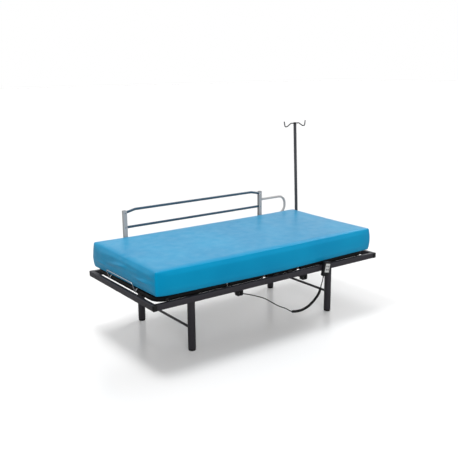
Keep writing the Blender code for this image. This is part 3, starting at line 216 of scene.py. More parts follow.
def facing(axis):
    return Vector((0, 0, 1)).rotation_difference(Vector(axis)).to_matrix().to_4x4()


def addTurned(bm, profile, base, axis=(0, 0, 1), steps=36):
    # profile rows are (radius, distance along the axis)
    part = bmesh.new()
    ring = [part.verts.new((radius, 0.0, along)) for radius, along in profile]
    lines = [part.edges.new(pair) for pair in zip(ring, ring[1:])]
    bmesh.ops.spin(part, geom=ring + lines, axis=(0, 0, 1), cent=(0, 0, 0), angle=math.tau, steps=steps,
                   use_merge=True)
    bmesh.ops.remove_doubles(part, verts=part.verts[:], dist=1e-6)
    bmesh.ops.recalc_face_normals(part, faces=part.faces[:])
    stamp(bm, part, Matrix.Translation(base) @ facing(axis))


def disc(radius, length, edge):
    # profile of a round piece with broken edges
    inner, last = radius - edge, length - edge
    return (0, 0), (inner, 0), (radius, edge), (radius, last), (inner, length), (0, length)


def sleeved(name, base, axis, spec):
    # ribbed strain relief: rings that widen towards the housing, then a plain collar
    profile = [(0.0, 0.0), (spec["mouth"], 0.0)]
    ribEnd, grooveStart, grooveEnd = spec["rib"]
    for ring in range(spec["count"]):
        r = spec["radius"] + spec["widen"] * ring
        h = spec["start"] + spec["pitch"] * ring
        neck = r - spec["groove"]
        profile += [(r, h), (r, h + ribEnd), (neck, h + grooveStart), (neck, h + grooveEnd)]
    collar, collarStart, collarEnd = spec["collar"]
    profile += [(collar, collarStart), (collar, collarEnd), (0, collarEnd)]
    turned(name, profile, base, "black_plastic", "base", axis, 24, 50)


def addLug(bm, start, end, radius, thickness, edge=0.0008):
    # flat plate with two round ends, its thickness along Y
    part = bmesh.new()
    bmesh.ops.create_cone(part, cap_ends=True, segments=32, radius1=radius, radius2=radius, depth=thickness)
    far = [v for v in part.verts if v.co.x > 1e-6]
    bmesh.ops.translate(part, vec=((end - start).length, 0, 0), verts=far)
    rims = [e for e in part.edges if abs(e.verts[0].co.z - e.verts[1].co.z) < 1e-6]
    rounded(part, rims, edge, 2)
    reach = (end - start).normalized()
    side = Vector((0, 1, 0))
    turn = Matrix((reach, side.cross(reach), side)).transposed().to_4x4()
    stamp(bm, part, Matrix.Translation(start) @ turn)


# Shares of a fastener's radius and height
boltForm = {"washer": (1.45, 0.22), "washerTop": (1.35, 0.3), "head": 0.7, "crown": 0.16, "middle": 0.65}
domeForm = {"top": 0.78, "crown": 0.4, "rim": 0.25, "draft": 0.03, "recess": 0.45}


def addBolt(bm, seat, axis, radius, height):
    # washer and six-sided head with a rounded crown
    wide, thick = boltForm["washer"]
    rim, top = boltForm["washerTop"]
    addTurned(bm, ((0, 0), (radius * wide, 0), (radius * wide, height * thick), (radius * rim, height * top),
                   (0, height * top)), seat, axis, 24)
    part = bmesh.new()
    bmesh.ops.create_cone(part, cap_ends=True, segments=6, radius1=radius, radius2=radius,
                          depth=height * boltForm["head"])
    upper = [e for e in part.edges if min(v.co.z for v in e.verts) > 0]
    rounded(part, upper, height * boltForm["crown"], 2)
    bmesh.ops.translate(part, vec=(0, 0, height * boltForm["middle"]), verts=part.verts[:])
    stamp(bm, part, Matrix.Translation(seat) @ facing(axis))


def topFace(bm):
    return max(bm.faces, key=lambda face: face.calc_center_median().z)


def addDome(bm, seat, axis, radius, height):
    # round-headed screw with a round recess
    part = bmesh.new()
    bmesh.ops.create_cone(part, cap_ends=True, segments=24, radius1=radius, radius2=radius * domeForm["top"],
                          depth=height)
    rounded(part, list(topFace(part).edges), height * domeForm["crown"], 3)
    crown = topFace(part)
    bmesh.ops.inset_individual(part, faces=[crown], thickness=radius * domeForm["rim"], depth=0.0)
    bmesh.ops.inset_individual(part, faces=[crown], thickness=radius * domeForm["draft"],
                               depth=-height * domeForm["recess"])
    bmesh.ops.translate(part, vec=(0, 0, height / 2), verts=part.verts[:])
    stamp(bm, part, Matrix.Translation(seat) @ facing(axis))


def finished(made, slotName, body):
    made.data.materials.append(finishes[slotName])
    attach(made, body)
    return made


def meshed(name, bm, sharp=None):
    mesh = bpy.data.meshes.new(name)
    bm.to_mesh(mesh)
    bm.free()
    if sharp:
        mesh.shade_smooth()
        mesh.set_sharp_from_angle(angle=math.radians(sharp))
    return linked(name, mesh)


def shaped(name, bm, slotName, body, sharp=40.0):
    bmesh.ops.recalc_face_normals(bm, faces=bm.faces[:])
    return finished(meshed(name, bm, sharp), slotName, body)


def turned(name, profile, base, slotName, body, axis=(0, 0, 1), steps=36, sharp=40.0):
    bm = bmesh.new()
    addTurned(bm, profile, base, axis, steps)
    return shaped(name, bm, slotName, body, sharp)


def bent(corners, radius, steps=8):
    # straight runs joined by round bends
    corners = [Vector(corner) for corner in corners]
    points = [corners[0]]
    for before, corner, after in zip(corners, corners[1:], corners[2:]):
        into, out = (corner - before).normalized(), (after - corner).normalized()
        turn = into.angle(out)
        room = 0.45 * min((corner - before).length, (after - corner).length)
        tight = min(radius, room / math.tan(turn / 2))  # a bend never uses up its straight runs
        first = corner - into * tight * math.tan(turn / 2)
        centre = corner + (out - into).normalized() * tight / math.cos(turn / 2)
        axis = into.cross(out).normalized()
        for step in range(steps + 1):
            points.append(centre + Quaternion(axis, turn * step / steps) @ (first - centre))
    return points + [corners[-1]]


def piped(name, routes, radius, slotName, body, roundness=4):
    # round tube along each route; a route is (points, share of the radius)
    data = bpy.data.curves.new(name, "CURVE")
    data.dimensions = "3D"
    data.bevel_depth = radius
    data.bevel_resolution = roundness
    data.use_fill_caps = True
    for points, share in routes:
        line = data.splines.new("POLY")
        line.points.add(len(points) - 1)
        for knot, point in zip(line.points, points):
            knot.co = (*point, 1.0)
            knot.radius = share
    return finished(linked(name, data), slotName, body)


def camel(name):
    first, *rest = name.split("_")
    return first + "".join(word.capitalize() for word in rest)


# Base frame

baseFrame = {
    "tubes": {"side_rail_near": 0, "side_rail_far": 0, "foot_rail": 1, "head_rail": 1, "crossmember_foot": 1,
              "crossmember_head": 1},  # name and the way each tube runs
    "caps": ("end_cap_foot_near", "end_cap_foot_far", "end_cap_head_near", "end_cap_head_far"),
    "edge": 0.0035, "capEdge": 0.0032, "crossTop": 0.4215,
    "bolt": {"x": 1.008, "y": 0.372, "z": 0.408, "size": (0.005, 0.004)},
    "weld": 0.0022,
    "crossWeld": {"x": (-0.657, 0.607), "half": 0.015, "y": 0.4385, "z": (0.3885, 0.4215)},
    "endWeld": {"x": (-0.981, 0.981), "y": (0.44, 0.467), "z": (0.388, 0.4278), "share": 0.7},
}
for name, along in baseFrame["tubes"].items():
    low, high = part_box(name)
    if name.startswith("crossmember"):
        high.z = baseFrame["crossTop"]
    bm = bmesh.new()
    addBlock(bm, low, high, baseFrame["edge"], 4, along)
    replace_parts(shaped(camel(name), bm, "anthracite_paint", "base"), name)
for name in baseFrame["caps"]:
    bm = bmesh.new()
    addBlock(bm, *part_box(name), baseFrame["capEdge"], 4)
    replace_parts(shaped(camel(name), bm, "black_plastic", "base"), name)

bm = bmesh.new()
spec = baseFrame["bolt"]
for out in (-1, 1):
    for side in (-1, 1):
        addBolt(bm, at(out * spec["x"], side * spec["y"], spec["z"]), (out, 0, 0), *spec["size"])
shaped("frameBolts", bm, "black_plastic", "base", 30)

welds = []
spec = baseFrame["crossWeld"]
low, high = spec["z"]
for x in spec["x"]:
    near, far = around(x, spec["half"])
    for side in (-1, 1):
        y = side * spec["y"]
        welds.append(([at(near, y, low), at(near, y, high), at(far, y, high), at(far, y, low)], 1.0))
spec = baseFrame["endWeld"]
low, high = spec["z"]
for x in spec["x"]:
    for side in (-1, 1):
        inner, outer = (side * y for y in spec["y"])
        loop = [at(x, inner, low), at(x, inner, high), at(x, outer, high), at(x, outer, low)]
        welds.append((loop, spec["share"]))
piped("frameWelds", welds, baseFrame["weld"], "anthracite_paint", "base", 2)
print("base frame")

legs = {
    "names": ("leg_foot_near", "leg_foot_far", "leg_head_near", "leg_head_far"),
    "profile": ((0, 0.0135), (0.0255, 0.0135), (0.0265, 0.015), (0.0265, 0.3795), (0.0272, 0.3815),
                (0.0288, 0.3827), (0.0347, 0.3827), (0.0355, 0.3835), (0.0355, 0.3877), (0, 0.3877)),
    "glide": ((0, 0), (0.0225, 0), (0.0247, 0.0022), (0.0255, 0.0045), (0.0255, 0.0112), (0.0243, 0.012),
              (0.0243, 0.0135), (0, 0.0135)),
    "bolt": {"ring": 0.0316, "turns": (45, 135, 225, 315), "z": 0.3827, "size": (0.0028, 0.0024)},
}
for name in legs["names"]:
    low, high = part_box(name)
    foot = Vector(((low.x + high.x) / 2, (low.y + high.y) / 2, 0))
    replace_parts(turned(camel(name), legs["profile"], foot, "dark_leg_paint", "base", steps=48), name)
    turned(camel(name) + "Glide", legs["glide"], foot, "black_plastic", "base", steps=48)
    bm = bmesh.new()
    spec = legs["bolt"]
    for turn in spec["turns"]:
        arm = Vector((math.cos(math.radians(turn)), math.sin(math.radians(turn)), 0)) * spec["ring"]
        addDome(bm, foot + arm + Vector((0, 0, spec["z"])), (0, 0, -1), *spec["size"])
    shaped(camel(name) + "Bolts", bm, "gear_steel", "base", 30)

tieBar = {"names": ("tie_bar_foot", "tie_bar_head"), "radius": 0.009, "sunk": 0.0015, "collar": 0.0025,
          "share": 1.2}
for name in tieBar["names"]:
    low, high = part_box(name)
    x, z = (low.x + high.x) / 2, (low.z + high.z) / 2
    routes = [([Vector((x, low.y - tieBar["sunk"], z)), Vector((x, high.y + tieBar["sunk"], z))], 1.0)]
    for y, way in ((low.y, 1), (high.y, -1)):
        collar = [Vector((x, y - way * tieBar["sunk"], z)), Vector((x, y + way * tieBar["collar"], z))]
        routes.append((collar, tieBar["share"]))
    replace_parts(piped(camel(name), routes, tieBar["radius"], "dark_leg_paint", "base"), name)
print("legs")


# Lying surface: four sections of tube with sprung slats

tubes = {"y": 0.4225, "z": 0.441, "radius": 0.019, "bend": 0.072, "crossRadius": 0.01}
hinge = {"z": 0.445, "radius": 0.015, "plate": 0.005, "reach": 0.03, "outer": 0.4255, "inner": 0.4195,
         "headY": 0.428, "head": (0.0075, 0.005), "nutY": 0.417, "nut": (0.0055, 0.005)}
runner = {"y": 0.28, "half": 0.008, "z": (0.432, 0.442), "edge": 0.0015}
slat = {"thickness": 0.008, "bow": 0.011, "cuts": 24, "edge": 0.0025}
holder = {"y": (0.389, 0.415), "half": 0.036, "z": (0.4352, 0.4548), "edge": 0.003, "steps": 3}
seatFoot = {"y": (0.4245, 0.4535), "half": 0.02, "z": (0.4283, 0.443), "edge": 0.002, "steps": 2}
glide = {"y": 0.4225, "z": 0.4403,
         "profile": ((0, 0), (0.005, 0), (0.005, 0.0165), (0.0105, 0.0165), (0.012, 0.018), (0.012, 0.0308),
                     (0.0105, 0.0323), (0, 0.0323))}
sections = {
    "calf": {"body": "calf", "ends": (-0.431, -0.957), "closed": True, "cross": (-0.45, -0.6485),
             "runner": True, "lugs": ((-0.415, -1, "inner"),), "slats": 3, "glide": -0.898},
    "thigh": {"body": "thigh", "ends": (-0.399, -0.109), "closed": False, "cross": (-0.38, -0.128),
              "lugs": ((-0.415, 1, "outer"), (-0.093, -1, "inner")), "slats": 2},
    "seat": {"body": "base", "ends": (-0.077, 0.208), "closed": False, "cross": (-0.058, 0.189),
             "lugs": ((-0.093, 1, "outer"), (0.224, -1, "outer")), "slats": 2, "feet": (0.002, 0.129)},
    "back": {"body": "back", "ends": (0.24, 0.909), "closed": True, "cross": (0.259, 0.631),
             "runner": True, "lugs": ((0.224, 1, "inner"),), "slats": 5},
}


def addSlat(bm, low, high, spec):
    part = bmesh.new()
    bmesh.ops.create_cube(part, size=1.0)
    size = Vector((high.x - low.x, high.y - low.y, spec["thickness"]))
    bmesh.ops.scale(part, vec=size, verts=part.verts[:])
    rounded(part, running(part, 1, 0.1), spec["edge"], 3)
    bmesh.ops.subdivide_edges(part, edges=running(part, 1, 0.1), cuts=spec["cuts"], use_grid_fill=True)
    for v in part.verts:
        v.co.z += spec["bow"] * (1 - (2 * v.co.y / size.y) ** 2)
    base = Vector(((low.x + high.x) / 2, (low.y + high.y) / 2, low.z + spec["thickness"] / 2))
    stamp(bm, part, Matrix.Translation(base))


def addPair(bm, x, spec):
    # one block on each side of the bed
    for side in (-1, 1):
        span = sorted(side * y for y in spec["y"])
        addSpan(bm, around(x, spec["half"]), span, spec["z"], spec["edge"], spec["steps"])


for section, spec in sections.items():
    start, end = spec["ends"]
    y, z = tubes["y"], tubes["z"]
    if spec["closed"]:
        corners = (at(start, -y, z), at(end, -y, z), at(end, y, z), at(start, y, z))
        routes = [(bent(corners, tubes["bend"], 12), 1.0)]
    else:
        routes = [([at(start, side * y, z), at(end, side * y, z)], 1.0) for side in (-1, 1)]
    thin = tubes["crossRadius"] / tubes["radius"]
    routes += [([at(x, -y, z), at(x, y, z)], thin) for x in spec["cross"]]
    tubeWork = piped(section + "Tubes", routes, tubes["radius"], "black_paint", spec["body"])
    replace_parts(tubeWork, section + "_frame")

    plates = bmesh.new()
    pins = bmesh.new()
    for x, way, layer in spec["lugs"]:
        for side in (-1, 1):
            y, z = side * hinge[layer], hinge["z"]
            addLug(plates, at(x, y, z), at(x + way * hinge["reach"], y, z), hinge["radius"], hinge["plate"])
            if layer == "outer":  # the outer lug carries the pivot bolt
                addDome(pins, at(x, side * hinge["headY"], z), (0, side, 0), *hinge["head"])
                addBolt(pins, at(x, side * hinge["nutY"], z), (0, -side, 0), *hinge["nut"])
    if spec.get("runner"):
        for side in (-1, 1):
            span = around(side * runner["y"], runner["half"])
            addSpan(plates, sorted(spec["cross"]), span, runner["z"], runner["edge"], 2)
    shaped(section + "Plates", plates, "black_paint", spec["body"])
    if pins.verts:
        shaped(section + "Pivots", pins, "chrome_wire", spec["body"], 30)

    mounts = bmesh.new()
    for number in range(1, spec["slats"] + 1):
        name = f"slat_{section}_{number}"
        low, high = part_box(name)
        bm = bmesh.new()
        addSlat(bm, low, high, slat)
        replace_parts(shaped(camel(name), bm, "slat_wood", spec["body"]), name)
        addPair(mounts, (low.x + high.x) / 2 - bedMiddle.x, holder)
    if "glide" in spec:
        for side in (-1, 1):
            addTurned(mounts, glide["profile"], at(spec["glide"], side * glide["y"], glide["z"]), (0, side, 0))
    for x in spec.get("feet", ()):
        addPair(mounts, x, seatFoot)
    shaped(section + "Mounts", mounts, "black_plastic", spec["body"])
print("lying surface")

retainer = {"radius": 0.0031, "y": 0.1875, "bend": 0.012,
            "leg": ((-0.968, 0.46), (-0.9755, 0.4545), (-0.9795, 0.4465), (-0.983, 0.434), (-1.007, 0.505))}
wire = [at(x, -retainer["y"], z) for x, z in retainer["leg"]]  # hooked round the end tube, then up
wire += [at(x, retainer["y"], z) for x, z in reversed(retainer["leg"])]
wire = bent(wire, retainer["bend"])
holdBack = piped("mattressRetainer", [(wire, 1.0)], retainer["radius"], "chrome_wire", "calf")
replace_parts(holdBack, "mattress_retainer")


# Lifting gear

gear = {
    "shafts": {"leg_lift_shaft": {"x": -0.332, "arm": 0.26, "way": -1, "body": "leg_shaft"},
               "back_lift_shaft": {"x": 0.258, "arm": 0.3, "way": 1, "body": "back_shaft"}},
    "z": 0.37, "radius": 0.0125, "length": 0.907, "edge": 0.001, "armY": 0.28, "armSize": (0.011, 0.008),
    "hub": (0.0205, 0.014), "pinY": 0.012, "pin": (0.005, 0.0025),
    "rollerZ": 0.4197, "rollerY": (-0.012, 0.0045), "roller": (0.012, 0.0075, 0.0008),
}
for name, spec in gear["shafts"].items():
    x, z, edge = spec["x"], gear["z"], gear["edge"]
    rise = math.asin((gear["rollerZ"] - z) / spec["arm"])
    tip = x + spec["way"] * spec["arm"] * math.cos(rise)
    steel = bmesh.new()
    rollers = bmesh.new()
    shaft = disc(gear["radius"], gear["length"], edge)
    addTurned(steel, shaft, at(x, -gear["length"] / 2, z), (0, 1, 0))
    radius, width = gear["hub"]
    for side in (-1, 1):
        y = side * gear["armY"]
        addLug(steel, at(x, y, z), at(tip, y, gear["rollerZ"]), *gear["armSize"], edge)
        addTurned(steel, disc(radius, width, edge), at(x, y - width / 2, z), (0, 1, 0))
        addDome(steel, at(tip, y + side * gear["pinY"], gear["rollerZ"]), (0, side, 0), *gear["pin"])
        for off in gear["rollerY"]:
            addTurned(rollers, disc(*gear["roller"]), at(tip, y + off, gear["rollerZ"]), (0, 1, 0))
    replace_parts(shaped(camel(name), steel, "gear_steel", spec["body"]), name)
    shaped(camel(name) + "Rollers", rollers, "black_plastic", spec["body"])

bearing = {"names": ("bearing_leg_near", "bearing_leg_far", "bearing_back_near", "bearing_back_far"),
           "merge": 0.00002, "edge": 0.0012, "inset": 0.007, "down": 0.009, "sunk": 0.0002,
           "screw": (0.0036, 0.0022)}
for name in bearing["names"]:
    node = nodes[name]
    weld = node.modifiers.new("weld", "WELD")
    weld.merge_threshold = bearing["merge"]
    rim = node.modifiers.new("rim", "BEVEL")
    rim.width = bearing["edge"]
    rim.segments = 2
    low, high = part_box(name)
    out, face = (1, high.y) if low.y > 0 else (-1, low.y)
    bm = bmesh.new()
    for x in (low.x + bearing["inset"], high.x - bearing["inset"]):
        seat = Vector((x, face - out * bearing["sunk"], high.z - bearing["down"]))
        addDome(bm, seat, (0, out, 0), *bearing["screw"])
    shaped(camel(name) + "Screws", bm, "black_paint", "base", 30)

drive = {
    "x": (-0.332, 0.258), "z": 0.37, "half": 0.055,
    "end": ((0.0135, 0), (0.03, 0), (0.031, 0.001), (0.037, 0.001), (0.042, 0.006)),
    "case": {"half": 0.052, "z": (0.331, 0.409), "edge": 0.008},
    "belly": {"x": (-0.247, 0.173), "half": 0.0535, "z": (0.292, 0.37), "edge": 0.012},
    "screws": {"x": (-0.225, -0.037, 0.151), "y": 0.0533, "z": 0.318, "size": (0.004, 0.0022)},
    "gland": at(-0.2, -0.071, 0.345),
    "sleeve": {"mouth": 0.0037, "count": 5, "radius": 0.0042, "widen": 0.00045, "start": 0.0004, "pitch": 0.0028,
               "rib": (0.0016, 0.0019, 0.0025), "groove": 0.0008, "collar": (0.007, 0.0145, 0.022)},
}
bm = bmesh.new()
farEnd = [(radius, 2 * drive["half"] - along) for radius, along in reversed(drive["end"])]
for x in drive["x"]:
    addTurned(bm, [*drive["end"], *farEnd, drive["end"][0]], at(x, -drive["half"], drive["z"]), (0, 1, 0), 48)
spec = drive["case"]
addSpan(bm, drive["x"], around(0, spec["half"]), spec["z"], spec["edge"], 4, 0)
spec = drive["belly"]
addSpan(bm, spec["x"], around(0, spec["half"]), spec["z"], spec["edge"], 5)
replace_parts(shaped("driveHousing", bm, "black_plastic", "base"), "drive_housing")
sleeved("driveGland", drive["gland"], (0, 1, 0), drive["sleeve"])
bm = bmesh.new()
spec = drive["screws"]
for x in spec["x"]:
    for side in (-1, 1):
        addDome(bm, at(x, side * spec["y"], spec["z"]), (0, side, 0), *spec["size"])
shaped("driveScrews", bm, "gear_steel", "base", 30)
print("lifting gear")


# Folding side rail

sideRail = {
    "y": 0.4906, "size": (0.031, 0.025), "wall": 0.002, "fold": 0.004, "bottom": 0.388, "top": 0.834,
    "foot": -0.695, "head": 0.597, "pivot": 0.408, "topPivot": 0.815, "lowerPivot": 0.704,
    "barRadius": 0.0098, "crank": (0.09, 0.02), "bend": 0.08,
    "pin": (0.0033, 0.022), "pinHeadY": 0.0125, "pinHead": (0.0055, 0.0025),
}


def addChannel(bm, x, opening, spec):
    part = bmesh.new()
    wide, deep = spec["size"][0] / 2, spec["size"][1] / 2
    line = ((wide, -deep), (-wide, -deep), (-wide, deep), (wide, deep))
    corners = [part.verts.new((a * opening, b, spec["bottom"])) for a, b in line]
    edges = [part.edges.new(pair) for pair in zip(corners, corners[1:])]
    grown = bmesh.ops.extrude_edge_only(part, edges=edges)["geom"]
    lifted = [g for g in grown if isinstance(g, bmesh.types.BMVert)]
    bmesh.ops.translate(part, vec=(0, 0, spec["top"] - spec["bottom"]), verts=lifted)
    folds = [e for e in part.edges if e.calc_length() > 0.1 and len(e.link_faces) == 2]
    rounded(part, folds, spec["fold"], 4)
    bmesh.ops.recalc_face_normals(part, faces=part.faces[:])
    inward = sum((f.normal * f.calc_area() for f in part.faces), Vector()).x * opening
    if inward > 0:
        bmesh.ops.reverse_faces(part, faces=part.faces[:])
    bmesh.ops.solidify(part, geom=part.faces[:], thickness=spec["wall"])
    stamp(bm, part, Matrix.Translation(at(x, spec["y"], 0)))


y, foot, head = sideRail["y"], sideRail["foot"], sideRail["head"]
for end, x, opening, body in (("Foot", foot, 1, "rail_foot"), ("Head", head, -1, "rail_head")):
    bm = bmesh.new()
    addChannel(bm, x, opening, sideRail)
    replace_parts(shaped("railUpright" + end, bm, "rail_grey", body), "rail_upright_" + end.lower())
    bm = bmesh.new()
    radius, length = sideRail["pin"]
    for z in (sideRail["topPivot"], sideRail["lowerPivot"]):
        for side in (-1, 1):
            addDome(bm, at(x, y + side * sideRail["pinHeadY"], z), (0, side, 0), *sideRail["pinHead"])
        pin = ((0, 0), (radius, 0), (radius, length), (0, length))
        addTurned(bm, pin, at(x, y - length / 2, z), (0, 1, 0), 16)
    shaped("railPins" + end, bm, "chrome_wire", body, 30)

z = sideRail["topPivot"]
run, rise = sideRail["crank"]
corners = (at(foot, y, z), at(foot + run, y, z + rise), at(head - run, y, z + rise), at(head, y, z))
bars = {"top": bent(corners, sideRail["bend"], 8),
        "lower": [at(foot, y, sideRail["lowerPivot"]), at(head, y, sideRail["lowerPivot"])]}
for level, route in bars.items():
    name = f"rail_{level}_bar"
    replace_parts(piped(camel(name), [(route, 1.0)], sideRail["barRadius"], "bar_slate", "rail_" + level), name)

grabLoop = {"radius": 0.0098, "top": 0.762, "bottom": 0.613, "reach": 0.878, "bend": 0.074, "sunk": 0.0003,
            "weld": (0.0114, 0.002)}
root, reach = head + sideRail["size"][0] / 2 - grabLoop["sunk"], grabLoop["reach"]
top, bottom = grabLoop["top"], grabLoop["bottom"]
corners = (at(root, y, top), at(reach, y, top), at(reach, y, bottom), at(root, y, bottom))
piped("grabLoop", [(bent(corners, grabLoop["bend"], 14), 1.0)], grabLoop["radius"], "rail_grey", "rail_head", 5)
radius, length = grabLoop["weld"]
welds = [([at(root, y, z), at(root + length, y, z)], 1.0) for z in (top, bottom)]
piped("grabLoopWelds", welds, radius, "rail_grey", "rail_head")

bracket = {"half": 0.03, "face": 0.4688, "plate": 0.006, "z": (0.388, 0.428), "edge": 0.0018,
           "boss": ((0, 0), (0.01, 0), (0.01, 0.0025), (0.0095, 0.003), (0, 0.003)),
           "boltX": 0.022, "bolt": (0.005, 0.0025), "pivotY": 0.5033, "pivot": (0.009, 0.003)}
for end, x in (("Foot", foot), ("Head", head)):
    face, z = bracket["face"], sideRail["pivot"]
    outside = face + bracket["plate"]
    bm = bmesh.new()
    addSpan(bm, around(x, bracket["half"]), (face, outside), bracket["z"], bracket["edge"], 3)
    addTurned(bm, bracket["boss"], at(x, outside, z), (0, 1, 0))
    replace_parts(shaped("railBracket" + end, bm, "rail_grey", "base"), "rail_bracket_" + end.lower())
    bm = bmesh.new()
    for side in (-1, 1):
        addDome(bm, at(x + side * bracket["boltX"], outside, z), (0, 1, 0), *bracket["bolt"])
    addDome(bm, at(x, bracket["pivotY"], z), (0, 1, 0), *bracket["pivot"])
    shaped("railBracketBolts" + end, bm, "chrome_wire", "base", 30)
print("side rail")


# Drip stand

stand = {"base": at(0.9669, 0.42439, 0.428), "axis": Vector((0.0, 0.045363, 0.998971)), "radius": 0.0128,
         "foot": -0.0795, "top": 0.959, "edge": 0.001,
         "socket": ((0.0131, -0.08), (0.0131, 0.012), (0.015, 0.012), (0.0155, 0.0112), (0.0155, -0.0845),
                    (0.014, -0.086), (0, -0.086), (0, -0.08), (0.0131, -0.08))}
base, axis = stand["base"], stand["axis"]
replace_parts(turned("ivSocket", stand["socket"], base, "anthracite_paint", "base", axis), "iv_socket")
r, low, top, edge = stand["radius"], stand["foot"], stand["top"], stand["edge"]
pole = ((0, low), (r - edge, low), (r, low + edge), (r, top), (0, top))
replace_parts(turned("ivPole", pole, base, "stand_grey", "drip_stand", axis), "iv_pole")

hook = {"wire": 0.0047, "bend": 0.009, "up": 0.0073,
        "half": ((0.12, 0.018), (0.112, -0.026), (0.088, -0.026), (0.045, 0.0)),
        "cap": ((0, 0.0003), (0.0138, 0.0003), (0.0138, 0.0115), (0.0128, 0.0135), (0.01, 0.0143), (0, 0.0143))}
tip = base + axis * (top + hook["up"])
lean = facing(axis)
line = [*hook["half"], *((-x, rise) for x, rise in reversed(hook["half"]))]
corners = [tip + lean @ Vector((x, 0, rise)) for x, rise in line]
wireHook = piped("ivHook", [(bent(corners, hook["bend"]), 1.0)], hook["wire"], "stand_grey", "drip_stand")
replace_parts(wireHook, "iv_hook")
turned("ivHookCap", hook["cap"], base + axis * top, "black_plastic", "drip_stand", axis)
print("drip stand")


# Hand control

handset = {
    "x": 0.459, "pivot": at(0.459, -0.4838, 0.428), "tilt": 12, "low": at(0.427, -0.4988, 0.347),
    "high": at(0.491, -0.4688, 0.458), "edge": 0.0075, "rim": 0.002,
    "recess": ((0.0001, -0.001), (0.0012, 0.0), (0.0001, -0.0045)),  # inset and depth of each step
    "keypad": {"half": (0.021, 0.00075, 0.033), "y": -0.49885, "z": 0.41, "edge": 0.0004, "gap": 0.0003},
    "hook": {"x": (0.444, 0.474), "starts": ((-0.4735, 0.4283), (-0.4382, 0.417)), "end": (-0.4352, 0.4313),
             "edge": 0.0008},
    "relief": at(0.42745, -0.4838, 0.33728), "reliefWay": Vector((-0.207912, 0.0, -0.978148)),
    "sleeve": {"mouth": 0.0037, "count": 5, "radius": 0.0042, "widen": 0.0002, "start": 0.0006, "pitch": 0.0026,
               "rib": (0.0014, 0.0017, 0.0023), "groove": 0.0007, "collar": (0.005, 0.0135, 0.018)},
}
hang = Matrix.Translation(handset["pivot"])
hang = hang @ Matrix.Rotation(math.radians(handset["tilt"]), 4, "Y") @ hang.inverted()


def hung(bm):
    bmesh.ops.transform(bm, matrix=hang, verts=bm.verts[:])
    return bm


keypad = handset["keypad"]
middle, half = at(handset["x"], keypad["y"], keypad["z"]), Vector(keypad["half"])
bm = bmesh.new()
addBlock(bm, handset["low"], handset["high"], handset["edge"], 5)
front = min(bm.faces, key=lambda face: face.calc_center_median().y)
bmesh.ops.inset_individual(bm, faces=[front], thickness=handset["rim"])
for v in front.verts:  # the opening takes the keypad's outline
    v.co.x = middle.x + math.copysign(half.x + keypad["gap"], v.co.x - middle.x)
    v.co.z = middle.z + math.copysign(half.z + keypad["gap"], v.co.z - middle.z)
for step, depth in handset["recess"]:
    bmesh.ops.inset_individual(bm, faces=[front], thickness=step, depth=depth)
hung(bm)
spec = handset["hook"]
left, right = spec["x"]
for start in spec["starts"]:
    addBlock(bm, at(left, *start), at(right, *spec["end"]), spec["edge"], 2)
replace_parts(shaped("handsetBody", bm, "black_plastic", "base"), "handset_body")
sleeved("handsetRelief", handset["relief"], -handset["reliefWay"], handset["sleeve"])
bm = bmesh.new()
addBlock(bm, middle - half, middle + half, keypad["edge"], 2)
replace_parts(shaped("handsetKeypad", hung(bm), "keypad_grey", "base"), "handset_keypad")

keys = {
    "places": {"button_back_up": ("key_back_up", -1, 1), "button_back_down": ("key_back_down", 1, 1),
               "button_legs_up": ("key_legs_up", -1, -1), "button_legs_down": ("key_legs_down", 1, -1)},
    "apart": (0.0095, 0.012), "half": 0.006, "y": (-0.5008, -0.4965), "edge": 0.001,
    "arrow": ((-0.0032, -0.0022), (0.0032, -0.0022), (0, 0.0034)), "arrowY": -0.5009, "arrowDepth": 0.0005,
}
for name, (body, column, row) in keys["places"].items():
    x, z = handset["x"] + column * keys["apart"][0], keypad["z"] + row * keys["apart"][1]
    bm = bmesh.new()
    addSpan(bm, around(x, keys["half"]), keys["y"], around(z, keys["half"]), keys["edge"], 3)
    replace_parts(shaped(camel(name), hung(bm), "button_dark", body), name)
    bm = bmesh.new()
    corners = [bm.verts.new(at(x + a, keys["arrowY"], z - b * column)) for a, b in keys["arrow"]]
    grown = bmesh.ops.extrude_face_region(bm, geom=[bm.faces.new(corners)])["geom"]
    deeper = [g for g in grown if isinstance(g, bmesh.types.BMVert)]
    bmesh.ops.translate(bm, vec=(0, keys["arrowDepth"], 0), verts=deeper)
    shaped(camel(name) + "Arrow", hung(bm), "keypad_grey", body)
print("hand control")

cord = {
    "radius": 0.0036, "helix": 0.0066, "curls": 47, "perCurl": 14, "step": 0.004, "pieces": 24,
    "gland": at(-0.2, -0.0713, 0.345),
    "lead": ((-0.003, -0.039, -0.001), (-0.03, -0.125, 0.004), (-0.0625, -0.2114, 0.008),
             (-0.0877, -0.2981, 0.009), (-0.0937, -0.3171, 0.0085), (-0.0939, -0.3356, 0.006),
             (-0.0838, -0.3511, 0.002), (-0.0669, -0.3584, -0.003), (-0.047, -0.3607, -0.009)),  # from the gland
    "drop": ((-0.608, 0.044, -0.025), (-0.526, 0.034, -0.062), (-0.432, 0.014, -0.126), (-0.364, 0.004, -0.161),
             (-0.306, -0.004, -0.195)),  # from here on seen from the hand control
    "curly": ((-0.228, -0.006, -0.205), (-0.16, -0.006, -0.193), (-0.11, -0.006, -0.168), (-0.071, -0.006, -0.138),
              (-0.042, -0.006, -0.105), (-0.029, -0.006, -0.071)),
    "tail": ((-0.02, -0.005, -0.045), (-0.0066, -0.002, -0.022)),
}


